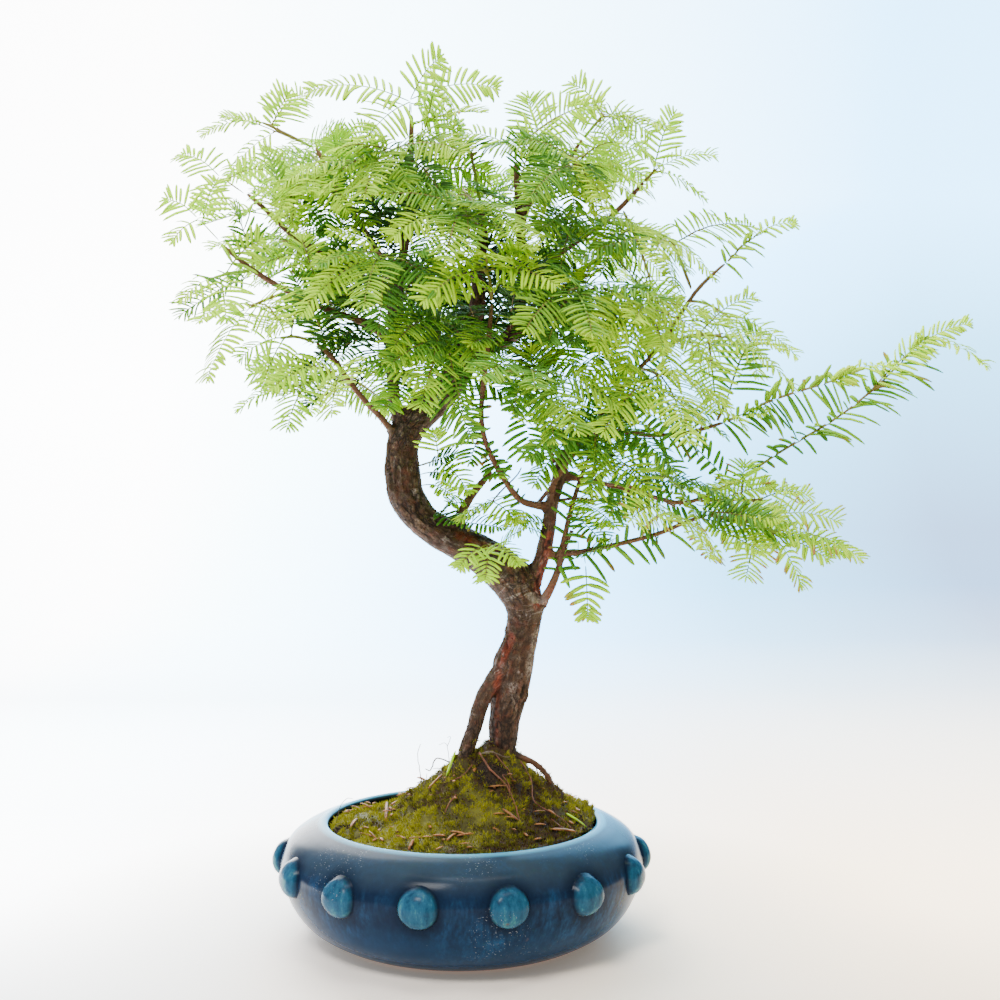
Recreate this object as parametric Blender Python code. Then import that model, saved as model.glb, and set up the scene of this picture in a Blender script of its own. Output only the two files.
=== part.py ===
"""Dawn redwood bonsai growing in a glazed drum pot.

Lengths below are millimetres and are turned into metres when a mesh is made. +Z is up, the front
faces -Y, and the origin is the middle of the pot's flat foot. The pot, the soil, the moss and the
wood are one solid each, and every leafy spray is a solid of its own that starts just off the wood.
"""

import math
import random

import bpy
from mathutils import Matrix, Vector
from mathutils.bvhtree import BVHTree

MM = 0.001
GAP = 0.3
SEED = 11

# The pot: a drum with a rolled-in shoulder and a ring of bosses
FOOT_RADIUS = 72.0
BELLY_RADIUS = 107.5
BELLY_HEIGHT = 43.0
RIM_HEIGHT = 66.5
LIP_RADIUS = 80.0
WALL = 7.0
FLOOR = 9.5
POT_SIDES = 28
BOSS_COUNT = 14
BOSS_SIDES = 9
BOSS_RADIUS = 10.7
BOSS_RISE = 5.5
BOSS_HEIGHT = 44.0
BOSS_TURN = math.radians(14.8)
DRAIN_COUNT = 3
DRAIN_RADIUS = 6.0
DRAIN_CIRCLE = 34.0

# The ground: a mound round the foot of the trunk
MOUND_X, MOUND_Y = 14.0, 3.0
GROUND_BASE = 61.0
MOUND_RISE = 49.0
MOUND_SPREAD = 44.0
MOUND_POWER = 1.8
MOSS_THICK = 5.0
MOSS_RADIUS = 78.4
SOIL_RADIUS = 82.0
SOIL_DROP = 0.5
SOIL_CLEAR = 1.2
GROUND_SIDES = 24
GROUND_RINGS = (0.2, 0.42, 0.68, 1.0)

# The foliage: fronds on thin stems, and long shoots that carry needles on the stem itself
RIB_WIDTH = 1.5
RIB_HEIGHT = 1.2
LEAF = 20.0
LEAF_PITCH = 12.6
LEAF_SAG = 0.16
STALK = 5.0
END_FROND = (42.0, 52.0)
SIDE_FROND = (38.0, 52.0)
SIDE_LEAN = (46.0, 66.0)
SHOOT_WIDTH = 2.4
SHOOT_HEIGHT = 2.2
SHOOT_SAG = 0.25
NEEDLE_FOOT = 3.6
CROWN_X, CROWN_Y = 0.0, 10.0
OUTWARD_TILT = 0.75
CLEAR = 0.45
TRIES = 26
STEM_SIDES = 4
STEM_SPANS = 2
STEM_RADIUS = 1.5

# The trunk and what grew from it: (x, y, z, radius)
TRUNK = (
    (22, 6, 60, 6.5), (22, 6, 94, 8.0), (24, 5, 109, 8.2), (26, 3, 131, 10.4), (29, 1, 146, 11.6),
    (30, 0, 160, 12.7), (34, -1, 170, 10.8), (36, -2, 180, 10.2), (38, -3, 189, 10.8),
    (36, -4, 199, 12.3), (31, -4, 209, 13.8), (21, -3, 218, 12.8), (8, -2, 226, 11.4),
    (-8, 0, 234, 10.4), (-24, 2, 244, 10.0), (-34, 4, 257, 11.4), (-36, 5, 271, 11.2),
    (-37, 6, 288, 9.8), (-32, 7, 302, 10.0), (-20, 8, 315, 10.4), (-8, 9, 326, 9.4),
    (-1, 10, 340, 8.0), (2, 10, 354, 6.8),
)
LEG = (
    (30, -4, 157, 6.0), (22, -6, 153, 6.0), (14, -7, 143, 5.4), (10, -7, 133, 4.8),
    (7, -6, 120, 4.8), (2, -5, 108, 5.0), (1, -5, 88, 4.4),
)
ROOT = ((30, 4, 104, 2.4), (44, 2, 99, 1.7), (51, 0, 92, 1.6), (56, -2, 82, 1.5), (58, -4, 70, 1.4))

# Branches: the first point is inside the wood that each one grew from
BRANCHES = {
    "leader_left": ((2, 10, 350, 6.6), (7, 8, 367, 5.6), (10, 4, 380, 5.0), (9, 0, 395, 4.2),
                    (13, -2, 413, 3.2), (11, -2, 434, 2.0)),
    "leader_right": ((-2, 10, 340, 6.4), (13, 16, 349, 5.6), (26, 20, 355, 5.2), (34, 22, 366, 4.8),
                     (35, 22, 380, 4.2), (37, 20, 398, 3.6), (34, 14, 431, 2.6), (32, 9, 463, 1.5)),
    "upright": ((-35, 6, 294, 4.6), (-41, 2, 314, 4.0), (-42, -2, 332, 3.9), (-41, -4, 358, 3.8),
                (-39, -4, 380, 4.2), (-36, -6, 399, 2.8), (-32, -8, 420, 2.2), (-30, -10, 455, 1.7),
                (-30, -10, 486, 1.3)),
    "left_high": ((-39, -4, 379, 3.2), (-52, -10, 386, 2.8), (-66, -14, 389, 2.4), (-83, -16, 402, 2.0),
                  (-101, -14, 413, 1.7), (-117, -10, 430, 1.5), (-128, -8, 439, 1.2)),
    "left_bare": ((-39, -4, 374, 2.8), (-62, 4, 379, 1.9), (-87, 10, 388, 1.6), (-108, 14, 398, 1.1)),
    "left_long": ((-41, -4, 350, 2.6), (-55, -20, 361, 2.1), (-79, -30, 367, 1.8), (-100, -34, 377, 1.7),
                  (-119, -36, 388, 1.5), (-138, -36, 404, 1.2)),
    "upper_left": ((-38, -4, 385, 2.8), (-50, 6, 405, 2.1), (-58, 12, 418, 1.9), (-73, 16, 441, 1.7),
                   (-84, 18, 461, 1.5), (-91, 18, 474, 1.2)),
    "low_left": ((-40, 4, 296, 2.4), (-49, -4, 307, 2.0), (-58, -12, 316, 1.7), (-67, -18, 328, 1.7),
                 (-74, -20, 339, 1.5), (-85, -22, 349, 1.2)),
    "peak": ((34, 14, 430, 2.2), (47, 18, 447, 1.8), (63, 22, 464, 1.6), (74, 24, 481, 1.2)),
    "wing": ((36, 22, 382, 3.0), (47, 30, 397, 2.3), (58, 36, 411, 2.0), (90, 44, 433, 1.7),
             (107, 46, 451, 1.5), (114, 46, 459, 1.2)),
    "right_inner": ((25, 20, 354, 3.0), (39, 6, 359, 2.2), (54, -6, 369, 1.8), (81, -18, 383, 1.3)),
    "sub_trunk": ((40, -4, 202, 5.4), (47, -9, 222, 4.8), (51, -14, 239, 4.4), (53, -14, 254, 4.2),
                  (57, -12, 271, 3.8), (60, -10, 287, 3.2)),
    "front_rise": ((53, -14, 253, 3.0), (43, -22, 254, 2.4), (34, -28, 256, 2.0), (25, -38, 268, 1.8),
                   (14, -50, 288, 1.6), (11, -58, 305, 1.5), (16, -66, 341, 1.4), (18, -65, 366, 1.1)),
    "right_rise": ((51, -14, 248, 2.4), (54, -24, 269, 1.8), (66, -28, 284, 1.6), (75, -26, 297, 1.6),
                   (98, -16, 329, 1.5), (118, -12, 347, 1.5), (138, -8, 382, 1.4), (158, -6, 399, 1.1)),
    "red_twig": ((44, -8, 192, 3.6), (51, -14, 202, 3.0), (57, -18, 216, 2.0), (61, -22, 240, 1.6),
                 (67, -18, 262, 1.4), (76, -12, 286, 1.0)),
    "low_right": ((50, -12, 224, 2.4), (66, -24, 226, 1.9), (92, -36, 232, 1.7), (114, -42, 238, 1.5),
                  (126, -44, 244, 1.4), (141, -46, 249, 1.1)),
    "long_right": ((57, -12, 272, 2.4), (76, -2, 269, 1.9), (109, 8, 261, 1.7), (134, 14, 253, 1.6),
                   (158, 18, 263, 1.2)),
    "mid_right": ((59, -10, 284, 2.4), (82, 0, 298, 1.9), (95, 2, 299, 1.7), (113, 4, 295, 1.6),
                  (140, 2, 298, 1.4), (158, 0, 304, 1.2)),
    "stub": ((-7, 1, 236, 3.0), (4, 6, 259, 2.8), (18, 10, 275, 1.8)),
    "stub_high": ((32, 21, 362, 2.6), (42, 18, 366, 2.2), (50, 14, 375, 1.4)),
}

# Leafy sprays. A spray's route starts inside the wood and is trimmed where it leaves it. "tips" are
# the ends of its own fronds, "pairs" adds opposite fronds, "face" turns blades to -Y, "leaf" is the
# leaflets' length, and "needles" makes the stem a long shoot with that many pairs of needles on it.
SPRAYS = {
    "crown_tip": dict(route=((-30, -10, 480), (-31, -10, 494)), face=0.8, leaf=22,
                      tips=((-95, -18, 500), (23, -4, 506), (-15, -22, 515), (-62, -34, 457), (-1, 14, 483))),
    "crown_front": dict(route=((-30, -10, 455), (-35, -35, 455), (-41, -60, 450)), pairs=2),
    "crown_back": dict(route=((-32, -8, 432), (-27, 20, 451), (-22, 50, 471)), pairs=2),
    "crown_shoulder": dict(route=((-31, -9, 441), (-45, -14, 450), (-64, -22, 455)), pairs=2),
    "upper_left_tip": dict(route=((-90, 18, 472), (-106, 16, 480), (-122, 12, 487)), face=0.6,
                           tips=((-151, 6, 482), (-105, 22, 504), (-140, 14, 461))),
    "upper_left_front": dict(route=((-73, 16, 441), (-83, -10, 444), (-94, -32, 443)), pairs=2),
    "upper_left_back": dict(route=((-79, 17, 451), (-90, 45, 469), (-105, 72, 487)), pairs=2),
    "left_reach": dict(route=((-126, -8, 437), (-137, -8, 443), (-145, -8, 449)), face=0.6,
                       tips=((-164, -4, 464), (-153, -12, 432), (-121, -2, 456))),
    "left_tip": dict(route=((-137, -36, 403), (-145, -38, 411), (-151, -40, 418)), face=0.6,
                     tips=((-163, -42, 428), (-162, -44, 407), (-142, -34, 439))),
    "left_tip_low": dict(route=((-118, -36, 388), (-128, -44, 386), (-138, -50, 382)), face=0.4,
                         tips=((-151, -54, 374), (-130, -60, 364), (-119, -42, 405))),
    "left_skirt": dict(route=((-99, -34, 376), (-107, -48, 371), (-115, -62, 364)), pairs=1),
    "left_back": dict(route=((-83, -16, 402), (-100, 18, 414), (-118, 52, 423)), pairs=2),
    "low_left_tip": dict(route=((-84, -22, 348), (-95, -24, 352), (-105, -26, 351)), face=0.5,
                         tips=((-122, -30, 344), (-112, -36, 328), (-97, -18, 369))),
    "low_left_low": dict(route=((-71, -19, 334), (-82, -22, 329), (-94, -26, 323)), face=0.5,
                         tips=((-123, -30, 314), (-98, -34, 305), (-117, -20, 333))),
    "low_left_front": dict(route=((-65, -17, 326), (-61, -45, 330), (-62, -72, 331)), pairs=1),
    "low_left_back": dict(route=((-57, -11, 314), (-70, 20, 328), (-85, 52, 337)), pairs=2),
    "fork_front": dict(route=((-38, -5, 391), (-39, -40, 395), (-43, -75, 390)), pairs=2),
    "fork_right": dict(route=((-41, -4, 357), (-27, -28, 361), (-11, -50, 359)), pairs=1),
    "fork_back": dict(route=((-39, -4, 378), (-39, 35, 393), (-42, 72, 407)), pairs=2),
    "fork_low_right": dict(route=((-42, -2, 328), (-29, -24, 331), (-15, -44, 326)), pairs=1),
    "centre_high_front": dict(route=((13, -2, 413), (8, -40, 416), (2, -78, 413)), pairs=2),
    "centre_top": dict(route=((11, -2, 432), (8, -6, 449), (5, -10, 464)), pairs=1),
    "centre_back_high": dict(route=((12, -1, 424), (4, 42, 447), (-3, 82, 464)), pairs=2),
    "centre_bright": dict(route=((18, -65, 364), (17, -72, 377), (14, -84, 381)), face=0.5,
                          tips=((-15, -98, 367), (47, -96, 374), (15, -106, 385))),
    "centre_low_front": dict(route=((9, 6, 374), (1, -32, 360), (-8, -66, 345)), pairs=2),
    "centre_fan": dict(route=((14, -62, 323), (26, -82, 326), (38, -100, 324)), pairs=1, face=0.4),
    "centre_back_low": dict(route=((13, 16, 349), (6, 58, 363), (-6, 96, 375)), pairs=2),
    "right_top": dict(route=((32, 9, 460), (32, 8, 471)), face=0.8,
                      tips=((-5, 12, 485), (77, 4, 495))),
    "right_peak": dict(route=((73, 24, 479), (81, 24, 489), (87, 24, 496)), face=0.5,
                       tips=((74, 24, 511), (110, 20, 487), (120, 36, 469))),
    "right_peak_front": dict(route=((50, 19, 451), (59, -18, 451), (68, -52, 445)), pairs=2),
    "right_peak_back": dict(route=((59, 21, 460), (69, 58, 476), (81, 90, 489)), pairs=2),
    "right_wing_tip": dict(route=((113, 46, 458), (118, 46, 463), (121, 46, 467)), face=0.5,
                           tips=((151, 46, 477), (149, 54, 455), (128, 40, 494))),
    "right_wing_front": dict(route=((90, 44, 433), (100, 18, 427), (110, -8, 417)), pairs=2),
    "right_wing_down": dict(route=((100, 45, 442), (111, 44, 417), (117, 42, 397)), pairs=1),
    "right_wing_back": dict(route=((59, 36, 412), (72, 74, 426), (88, 106, 435)), pairs=2),
    "right_inner_tip": dict(route=((80, -18, 382), (92, -44, 373), (102, -68, 361)), pairs=1),
    "right_inner_front": dict(route=((48, -2, 366), (54, -44, 372), (62, -84, 370)), pairs=2),
    "shoot_upper": dict(route=((157, -6, 398), (166, -5, 408), (174, -4, 414)), needles=3, leaf=14,
                        face=0.4, tips=((194, -3, 423),)),
    "shoulder_front": dict(route=((117, -12, 346), (132, -32, 352), (147, -50, 349)), face=0.3,
                           tips=((182, -56, 325), (175, -54, 343), (142, -58, 313), (161, -34, 372))),
    "shoulder_back": dict(route=((134, -9, 375), (149, 14, 377), (167, 36, 371)), pairs=1),
    "shoulder_low": dict(route=((98, -16, 329), (103, -48, 331), (110, -76, 324)), pairs=2),
    "shoulder_high": dict(route=((137, -8, 380), (128, -22, 396), (120, -44, 404)), pairs=1),
    "peak_low": dict(route=((36, 17, 415), (54, -4, 423), (68, -28, 421)), pairs=1),
    "long_right_leaf": dict(route=((108, 8, 261), (112, -14, 271), (119, -34, 270)), pairs=1),
    "upright_frond": dict(route=((151, 1, 301), (156, 0, 311), (159, 0, 317)), face=0.9, leaf=25,
                          tips=((171, -2, 350),)),
    "shoot_middle": dict(route=((157, 0, 303), (172, -2, 311), (192, -6, 319), (218, -8, 327),
                                (231, -8, 333)),
                         needles=7, tips=((251, -8, 337),)),
    "middle_front": dict(route=((82, 0, 298), (80, -26, 307), (77, -50, 300)), pairs=2),
    "middle_back": dict(route=((89, 1, 299), (103, 40, 313), (121, 74, 323)), pairs=2),
    "shoot_long": dict(route=((157, 18, 262), (176, 19, 274), (197, 20, 288), (232, 20, 309), (258, 18, 331),
                              (283, 16, 357)), needles=9, face=0.3,
                       tips=((314, 12, 343), (311, 20, 362))),
    "low_right_tip": dict(route=((140, -46, 248), (158, -50, 246), (177, -54, 239)), face=0.4,
                          tips=((217, -60, 229), (188, -58, 216), (163, -46, 220), (203, -62, 248))),
    "low_right_top": dict(route=((142, 15, 256), (160, 2, 257), (178, -10, 257)), face=0.3,
                          tips=((201, -4, 262), (176, -20, 238), (168, -2, 271))),
    "low_right_mid": dict(route=((102, -39, 234), (107, -56, 246), (114, -74, 250)), pairs=1),
    "hanging_frond": dict(route=((71, -26, 227), (72, -28, 221), (72, -29, 216)), face=0.9, leaf=19,
                          tips=((73, -33, 190),)),
    "trunk_frond": dict(route=((22, -5, 220), (20, -20, 231), (14, -32, 230)), face=0.2,
                        tips=((-7, -46, 216), (40, -50, 219), (13, -50, 205))),
    "bend_frond": dict(route=((-34, 4, 275), (-18, -9, 281), (-12, -14, 279)), face=0.5,
                       tips=((8, -20, 258), (-16, -18, 297))),
    "stub_frond": dict(route=((4, 6, 259), (12, -12, 259), (17, -26, 254)), face=0.3,
                       tips=((-3, -34, 246), (35, -34, 244))),
}


def clear_scene():
    """Remove every object that a new file starts with."""
    for item in list(bpy.data.objects):
        bpy.data.objects.remove(item, do_unlink=True)


def make_material(name, colour, roughness):
    """Return a Principled material of one colour and roughness."""
    material = bpy.data.materials.new(name)
    material.use_nodes = True
    shader = material.node_tree.nodes["Principled BSDF"]
    shader.inputs["Base Color"].default_value = (*colour, 1.0)
    shader.inputs["Roughness"].default_value = roughness
    shader.inputs["Metallic"].default_value = 0.0
    material.diffuse_color = (*colour, 1.0)
    return material


def make_object(name, solid, material):
    """Turn a solid, its vertices in millimetres and its faces, into an object in metres."""
    vertices, faces = solid
    mesh = bpy.data.meshes.new(name)
    mesh.from_pydata([tuple(corner * MM for corner in vertex) for vertex in vertices], [], faces)
    mesh.materials.append(material)
    mesh.validate()
    item = bpy.data.objects.new(name, mesh)
    bpy.context.scene.collection.objects.link(item)
    return item


def apply_modifiers(item):
    """Keep the shape that an object's modifiers give it, and remove them."""
    graph = bpy.context.evaluated_depsgraph_get()
    mesh = bpy.data.meshes.new_from_object(item.evaluated_get(graph))
    item.modifiers.clear()
    old = item.data
    item.data = mesh
    mesh.name = item.name
    bpy.data.meshes.remove(old)


def combine(item, others, operation, solver="MANIFOLD"):
    """Join or cut an object with one Boolean on a collection, then remove the collection."""
    group = bpy.data.collections.new("operands")
    bpy.context.scene.collection.children.link(group)
    for other in others:
        bpy.context.scene.collection.objects.unlink(other)
        group.objects.link(other)
    modifier = item.modifiers.new(operation.lower(), "BOOLEAN")
    modifier.operation = operation
    modifier.operand_type = "COLLECTION"
    modifier.collection = group
    modifier.solver = solver
    apply_modifiers(item)
    for other in list(group.objects):
        bpy.data.objects.remove(other, do_unlink=True)
    bpy.data.collections.remove(group)


def shade(item, degrees):
    """Shade an object smooth, with edges sharper than an angle left crisp."""
    item.data.shade_smooth()
    item.data.set_sharp_from_angle(angle=math.radians(degrees))


def revolve(profile, sides, turn=0.0):
    """Turn a profile that starts and ends on the axis into a solid; radii and heights in mm."""
    rings = []
    vertices = []
    for radius, height in profile:
        if radius == 0.0:
            rings.append([len(vertices)])
            vertices.append((0.0, 0.0, height))
            continue
        rings.append(list(range(len(vertices), len(vertices) + sides)))
        for side in range(sides):
            angle = turn + 2.0 * math.pi * side / sides
            vertices.append((radius * math.cos(angle), radius * math.sin(angle), height))
    faces = []
    for lower, upper in zip(rings, rings[1:]):
        for side in range(sides):
            after = (side + 1) % sides
            if len(lower) == 1:
                faces.append((lower[0], upper[after], upper[side]))
            elif len(upper) == 1:
                faces.append((lower[side], lower[after], upper[0]))
            else:
                faces.append((lower[side], lower[after], upper[after], upper[side]))
    return vertices, faces


def tube(route, sides, extra=0.0, flute=0.0, flutes=3):
    """Loft a closed tube along (x, y, z, radius) points, with frames that do not twist."""
    points = [Vector(point[:3]) for point in route]
    radii = [point[3] + extra for point in route]
    tangents = []
    for index in range(len(points)):
        ahead = points[min(index + 1, len(points) - 1)]
        behind = points[max(index - 1, 0)]
        tangents.append((ahead - behind).normalized())
    normal = tangents[0].orthogonal().normalized()
    vertices = []
    faces = []
    for index, (point, tangent, radius) in enumerate(zip(points, tangents, radii)):
        normal = (normal - tangent * normal.dot(tangent)).normalized()
        across = tangent.cross(normal)
        for side in range(sides):
            angle = 2.0 * math.pi * side / sides
            reach = radius * (1.0 + flute * math.sin(flutes * angle + 0.8 * index))
            vertices.append(point + (normal * math.cos(angle) + across * math.sin(angle)) * reach)
        if index:
            low = (index - 1) * sides
            for side in range(sides):
                after = (side + 1) % sides
                faces.append((low + side, low + after, low + sides + after, low + sides + side))
    faces.append(tuple(reversed(range(sides))))
    faces.append(tuple(range(len(vertices) - sides, len(vertices))))
    return vertices, faces


def pot_profile():
    """Return the pot's section from the middle of its foot, up the outside and down the inside."""
    belly = BELLY_RADIUS
    outside = [
        (0.0, 0.0), (FOOT_RADIUS, 0.0), (FOOT_RADIUS + 10.0, 4.0), (belly - 13.5, 12.0),
        (belly - 5.0, 24.0), (belly, BELLY_HEIGHT - 3.0), (belly - 1.0, 49.0),
        (belly - 6.0, 57.5), (belly - 14.5, 63.0), (LIP_RADIUS + 4.0, RIM_HEIGHT),
        (LIP_RADIUS, RIM_HEIGHT - 1.0),
    ]
    inside = [
        (LIP_RADIUS + 8.0, 57.0), (belly - WALL - 1.0, 48.0), (belly - WALL - 5.0, 24.0),
        (FOOT_RADIUS + 2.0, FLOOR), (0.0, FLOOR),
    ]
    return outside + inside


def boss(index):
    """Return one round boss on the pot's belly, its inner half sunk in the wall."""
    angle = -math.pi / 2.0 + BOSS_TURN + 2.0 * math.pi * index / BOSS_COUNT
    profile = [(0.0, -4.0), (BOSS_RADIUS, -4.0), (BOSS_RADIUS * 0.97, 1.6),
               (BOSS_RADIUS * 0.66, BOSS_RISE - 1.0), (0.0, BOSS_RISE)]
    vertices, faces = revolve(profile, BOSS_SIDES)
    lay = Matrix.Rotation(angle, 4, "Z") @ Matrix.Translation((BELLY_RADIUS, 0.0, BOSS_HEIGHT))
    lay = lay @ Matrix.Rotation(math.pi / 2.0, 4, "Y")
    return [lay @ Vector(vertex) for vertex in vertices], faces


def build_pot():
    """Build the glazed pot: a turned bowl with fused bosses and open drain holes."""
    material = make_material("pot_glaze", (0.02, 0.06, 0.15), 0.18)
    pot = make_object("pot", revolve(pot_profile(), POT_SIDES, turn=math.pi / POT_SIDES), material)
    combine(pot, [make_object("boss", boss(index), material) for index in range(BOSS_COUNT)], "UNION")
    drains = []
    for index in range(DRAIN_COUNT):
        angle = 2.0 * math.pi * index / DRAIN_COUNT
        profile = [(0.0, -5.0), (DRAIN_RADIUS, -5.0), (DRAIN_RADIUS, FLOOR + 5.0), (0.0, FLOOR + 5.0)]
        vertices, faces = revolve(profile, 12)
        shift = Vector((DRAIN_CIRCLE * math.cos(angle), DRAIN_CIRCLE * math.sin(angle), 0.0))
        drains.append(make_object("drain", ([shift + Vector(v) for v in vertices], faces), material))
    combine(pot, drains, "DIFFERENCE")
    shade(pot, 46)


def ground_height(x, y):
    """Return the height of the moss at a place: the mound, a dome at the left, a dip behind."""
    away = math.hypot(x - MOUND_X, y - MOUND_Y)
    height = GROUND_BASE + MOUND_RISE * math.exp(-((away / MOUND_SPREAD) ** MOUND_POWER))
    height += 5.0 * math.exp(-((x + 62.0) ** 2 + (y - 10.0) ** 2) / 18.0 ** 2)
    height -= 4.0 * math.exp(-((x + 38.0) ** 2 + (y - 60.0) ** 2) / 16.0 ** 2)
    height += 0.9 * math.sin(0.21 * x + 0.4) * math.sin(0.19 * y + 1.1)
    return height


def ground_places():
    """Return the ground's grid, ring by ring outwards from the mound, as places in plan."""
    rings = []
    for share in GROUND_RINGS:
        ring = []
        for side in range(GROUND_SIDES):
            angle = 2.0 * math.pi * side / GROUND_SIDES
            along = MOUND_X * math.cos(angle) + MOUND_Y * math.sin(angle)
            offset = MOUND_X ** 2 + MOUND_Y ** 2
            reach = -along + math.sqrt(along ** 2 - offset + MOSS_RADIUS ** 2)
            x = MOUND_X + share * reach * math.cos(angle)
            y = MOUND_Y + share * reach * math.sin(angle)
            ring.append((x, y))
        rings.append(ring)
    return rings


def ground_sheet(drop):
    """Return the vertices and faces of the ground's surface, lowered by some millimetres."""
    vertices = [(MOUND_X, MOUND_Y, ground_height(MOUND_X, MOUND_Y) - drop)]
    for ring in ground_places():
        vertices.extend((x, y, ground_height(x, y) - drop) for x, y in ring)
    faces = []
    for side in range(GROUND_SIDES):
        after = (side + 1) % GROUND_SIDES
        faces.append((0, 1 + side, 1 + after))
        for ring in range(len(GROUND_RINGS) - 1):
            low = 1 + ring * GROUND_SIDES
            high = low + GROUND_SIDES
            faces.append((low + side, high + side, high + after))
            faces.append((low + side, high + after, low + after))
    return vertices, faces


def skirt(lower, upper):
    """Return faces that join two rings of vertex numbers, facing outwards."""
    count = len(lower)
    return [(lower[i], lower[(i + 1) % count], upper[(i + 1) % count], upper[i]) for i in range(count)]


def moss_solid():
    """Return the moss cover: the ground's surface with its own thickness."""
    top, top_faces = ground_sheet(0.0)
    bottom, bottom_faces = ground_sheet(MOSS_THICK)
    count = len(top)
    faces = list(top_faces)
    faces += [tuple(count + corner for corner in reversed(face)) for face in bottom_faces]
    rim = range(count - GROUND_SIDES, count)
    faces += skirt([count + corner for corner in rim], list(rim))
    return top + bottom, faces


def soil_solid():
    """Return the soil: the surface under the moss, closed by rings that follow the pot's wall."""
    vertices, faces = ground_sheet(MOSS_THICK + SOIL_DROP)
    edge = ground_places()[-1]
    upper = list(range(len(vertices) - GROUND_SIDES, len(vertices)))
    belly = BELLY_RADIUS - WALL - SOIL_CLEAR
    levels = [(SOIL_RADIUS, GROUND_BASE - 5.0), (belly - 1.6, 47.5),
              (belly - 5.0, 24.5), (FOOT_RADIUS + 0.6, FLOOR + GAP)]
    for radius, height in levels:
        lower = []
        for x, y in edge:
            scale = radius / math.hypot(x, y)
            lower.append(len(vertices))
            vertices.append((x * scale, y * scale, height))
        faces += skirt(lower, upper)
        upper = lower
    faces.append(tuple(reversed(upper)))
    return vertices, faces


def sockets():
    """Return the plain holes that the trunk, its second leg and its root stand in."""
    material = bpy.data.materials["bark"]
    holes = [(TRUNK[:3], 10), (LEG[-3:], 7), (ROOT, 5)]
    return [make_object("socket", tube(lengthen(route), sides, extra=GAP + 0.1), material)
            for route, sides in holes]


def lengthen(route):
    """Push a route's buried end on by 1 mm, so that its hole has a bottom clear of it."""
    points = list(route)
    end = 0 if points[0][2] < points[-1][2] else -1
    beside = 1 if end == 0 else -2
    away = (Vector(points[end][:3]) - Vector(points[beside][:3])).normalized()
    moved = Vector(points[end][:3]) + away
    points[end] = (*moved, points[end][3])
    return tuple(points)


def build_ground():
    """Build the soil and the moss on it, both with the trunk's holes."""
    soil = make_object("soil", soil_solid(), make_material("soil_dark", (0.03, 0.018, 0.01), 0.95))
    moss = make_object("moss", moss_solid(), make_material("moss_green", (0.13, 0.2, 0.03), 0.9))
    for item in (soil, moss):
        combine(item, sockets(), "DIFFERENCE")
        shade(item, 50)


def build_trunk():
    """Build all the wood that grew in one piece and return it."""
    material = make_material("bark", (0.14, 0.065, 0.04), 0.8)
    trunk = make_object("trunk", tube(TRUNK, 10, flute=0.05), material)
    parts = [make_object("leg", tube(LEG, 7), material), make_object("root", tube(ROOT, 5), material)]
    for name, route in BRANCHES.items():
        sides = 6 if route[1][3] > 3.5 else 5
        if route[1][3] < 1.95:
            sides = 4
        parts.append(make_object(name, tube(route, sides), material))
    combine(trunk, parts, "UNION")
    shade(trunk, 50)
    return trunk


def tree_of(solid):
    """Return a search tree over a solid's faces."""
    vertices, faces = solid
    return BVHTree.FromPolygons([tuple(vertex) for vertex in vertices], faces)


def solid_of(item):
    """Return an object's mesh as a solid in millimetres."""
    vertices = [vertex.co / MM for vertex in item.data.vertices]
    return vertices, [tuple(face.vertices) for face in item.data.polygons]


def lies_clear(solid, trees, gap):
    """Tell whether a solid crosses none of the trees and keeps its corners and edges clear of them."""
    own = tree_of(solid)
    vertices, faces = solid
    probes = [Vector(vertex) for vertex in vertices]
    for face in faces:
        probes.append((Vector(vertices[face[0]]) + Vector(vertices[face[-1]])) / 2.0)
    for tree in trees:
        if own.overlap(tree):
            return False
        for probe in probes:
            if tree.find_nearest(probe, gap)[0] is not None:
                return False
    return True


def curve_point(points, share):
    """Return a point on the smooth curve through a few points; share runs from 0 to 1."""
    last = len(points) - 1
    place = min(share, 0.99999) * last
    index = int(place)
    t = place - index
    before = points[max(index - 1, 0)]
    start = points[index]
    end = points[index + 1]
    after = points[min(index + 2, last)]
    inner = (end - before) * t + (before * 2.0 - start * 5.0 + end * 4.0 - after) * t ** 2
    inner += (start * 3.0 - before - end * 3.0 + after) * t ** 3
    return start + inner * 0.5


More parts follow.
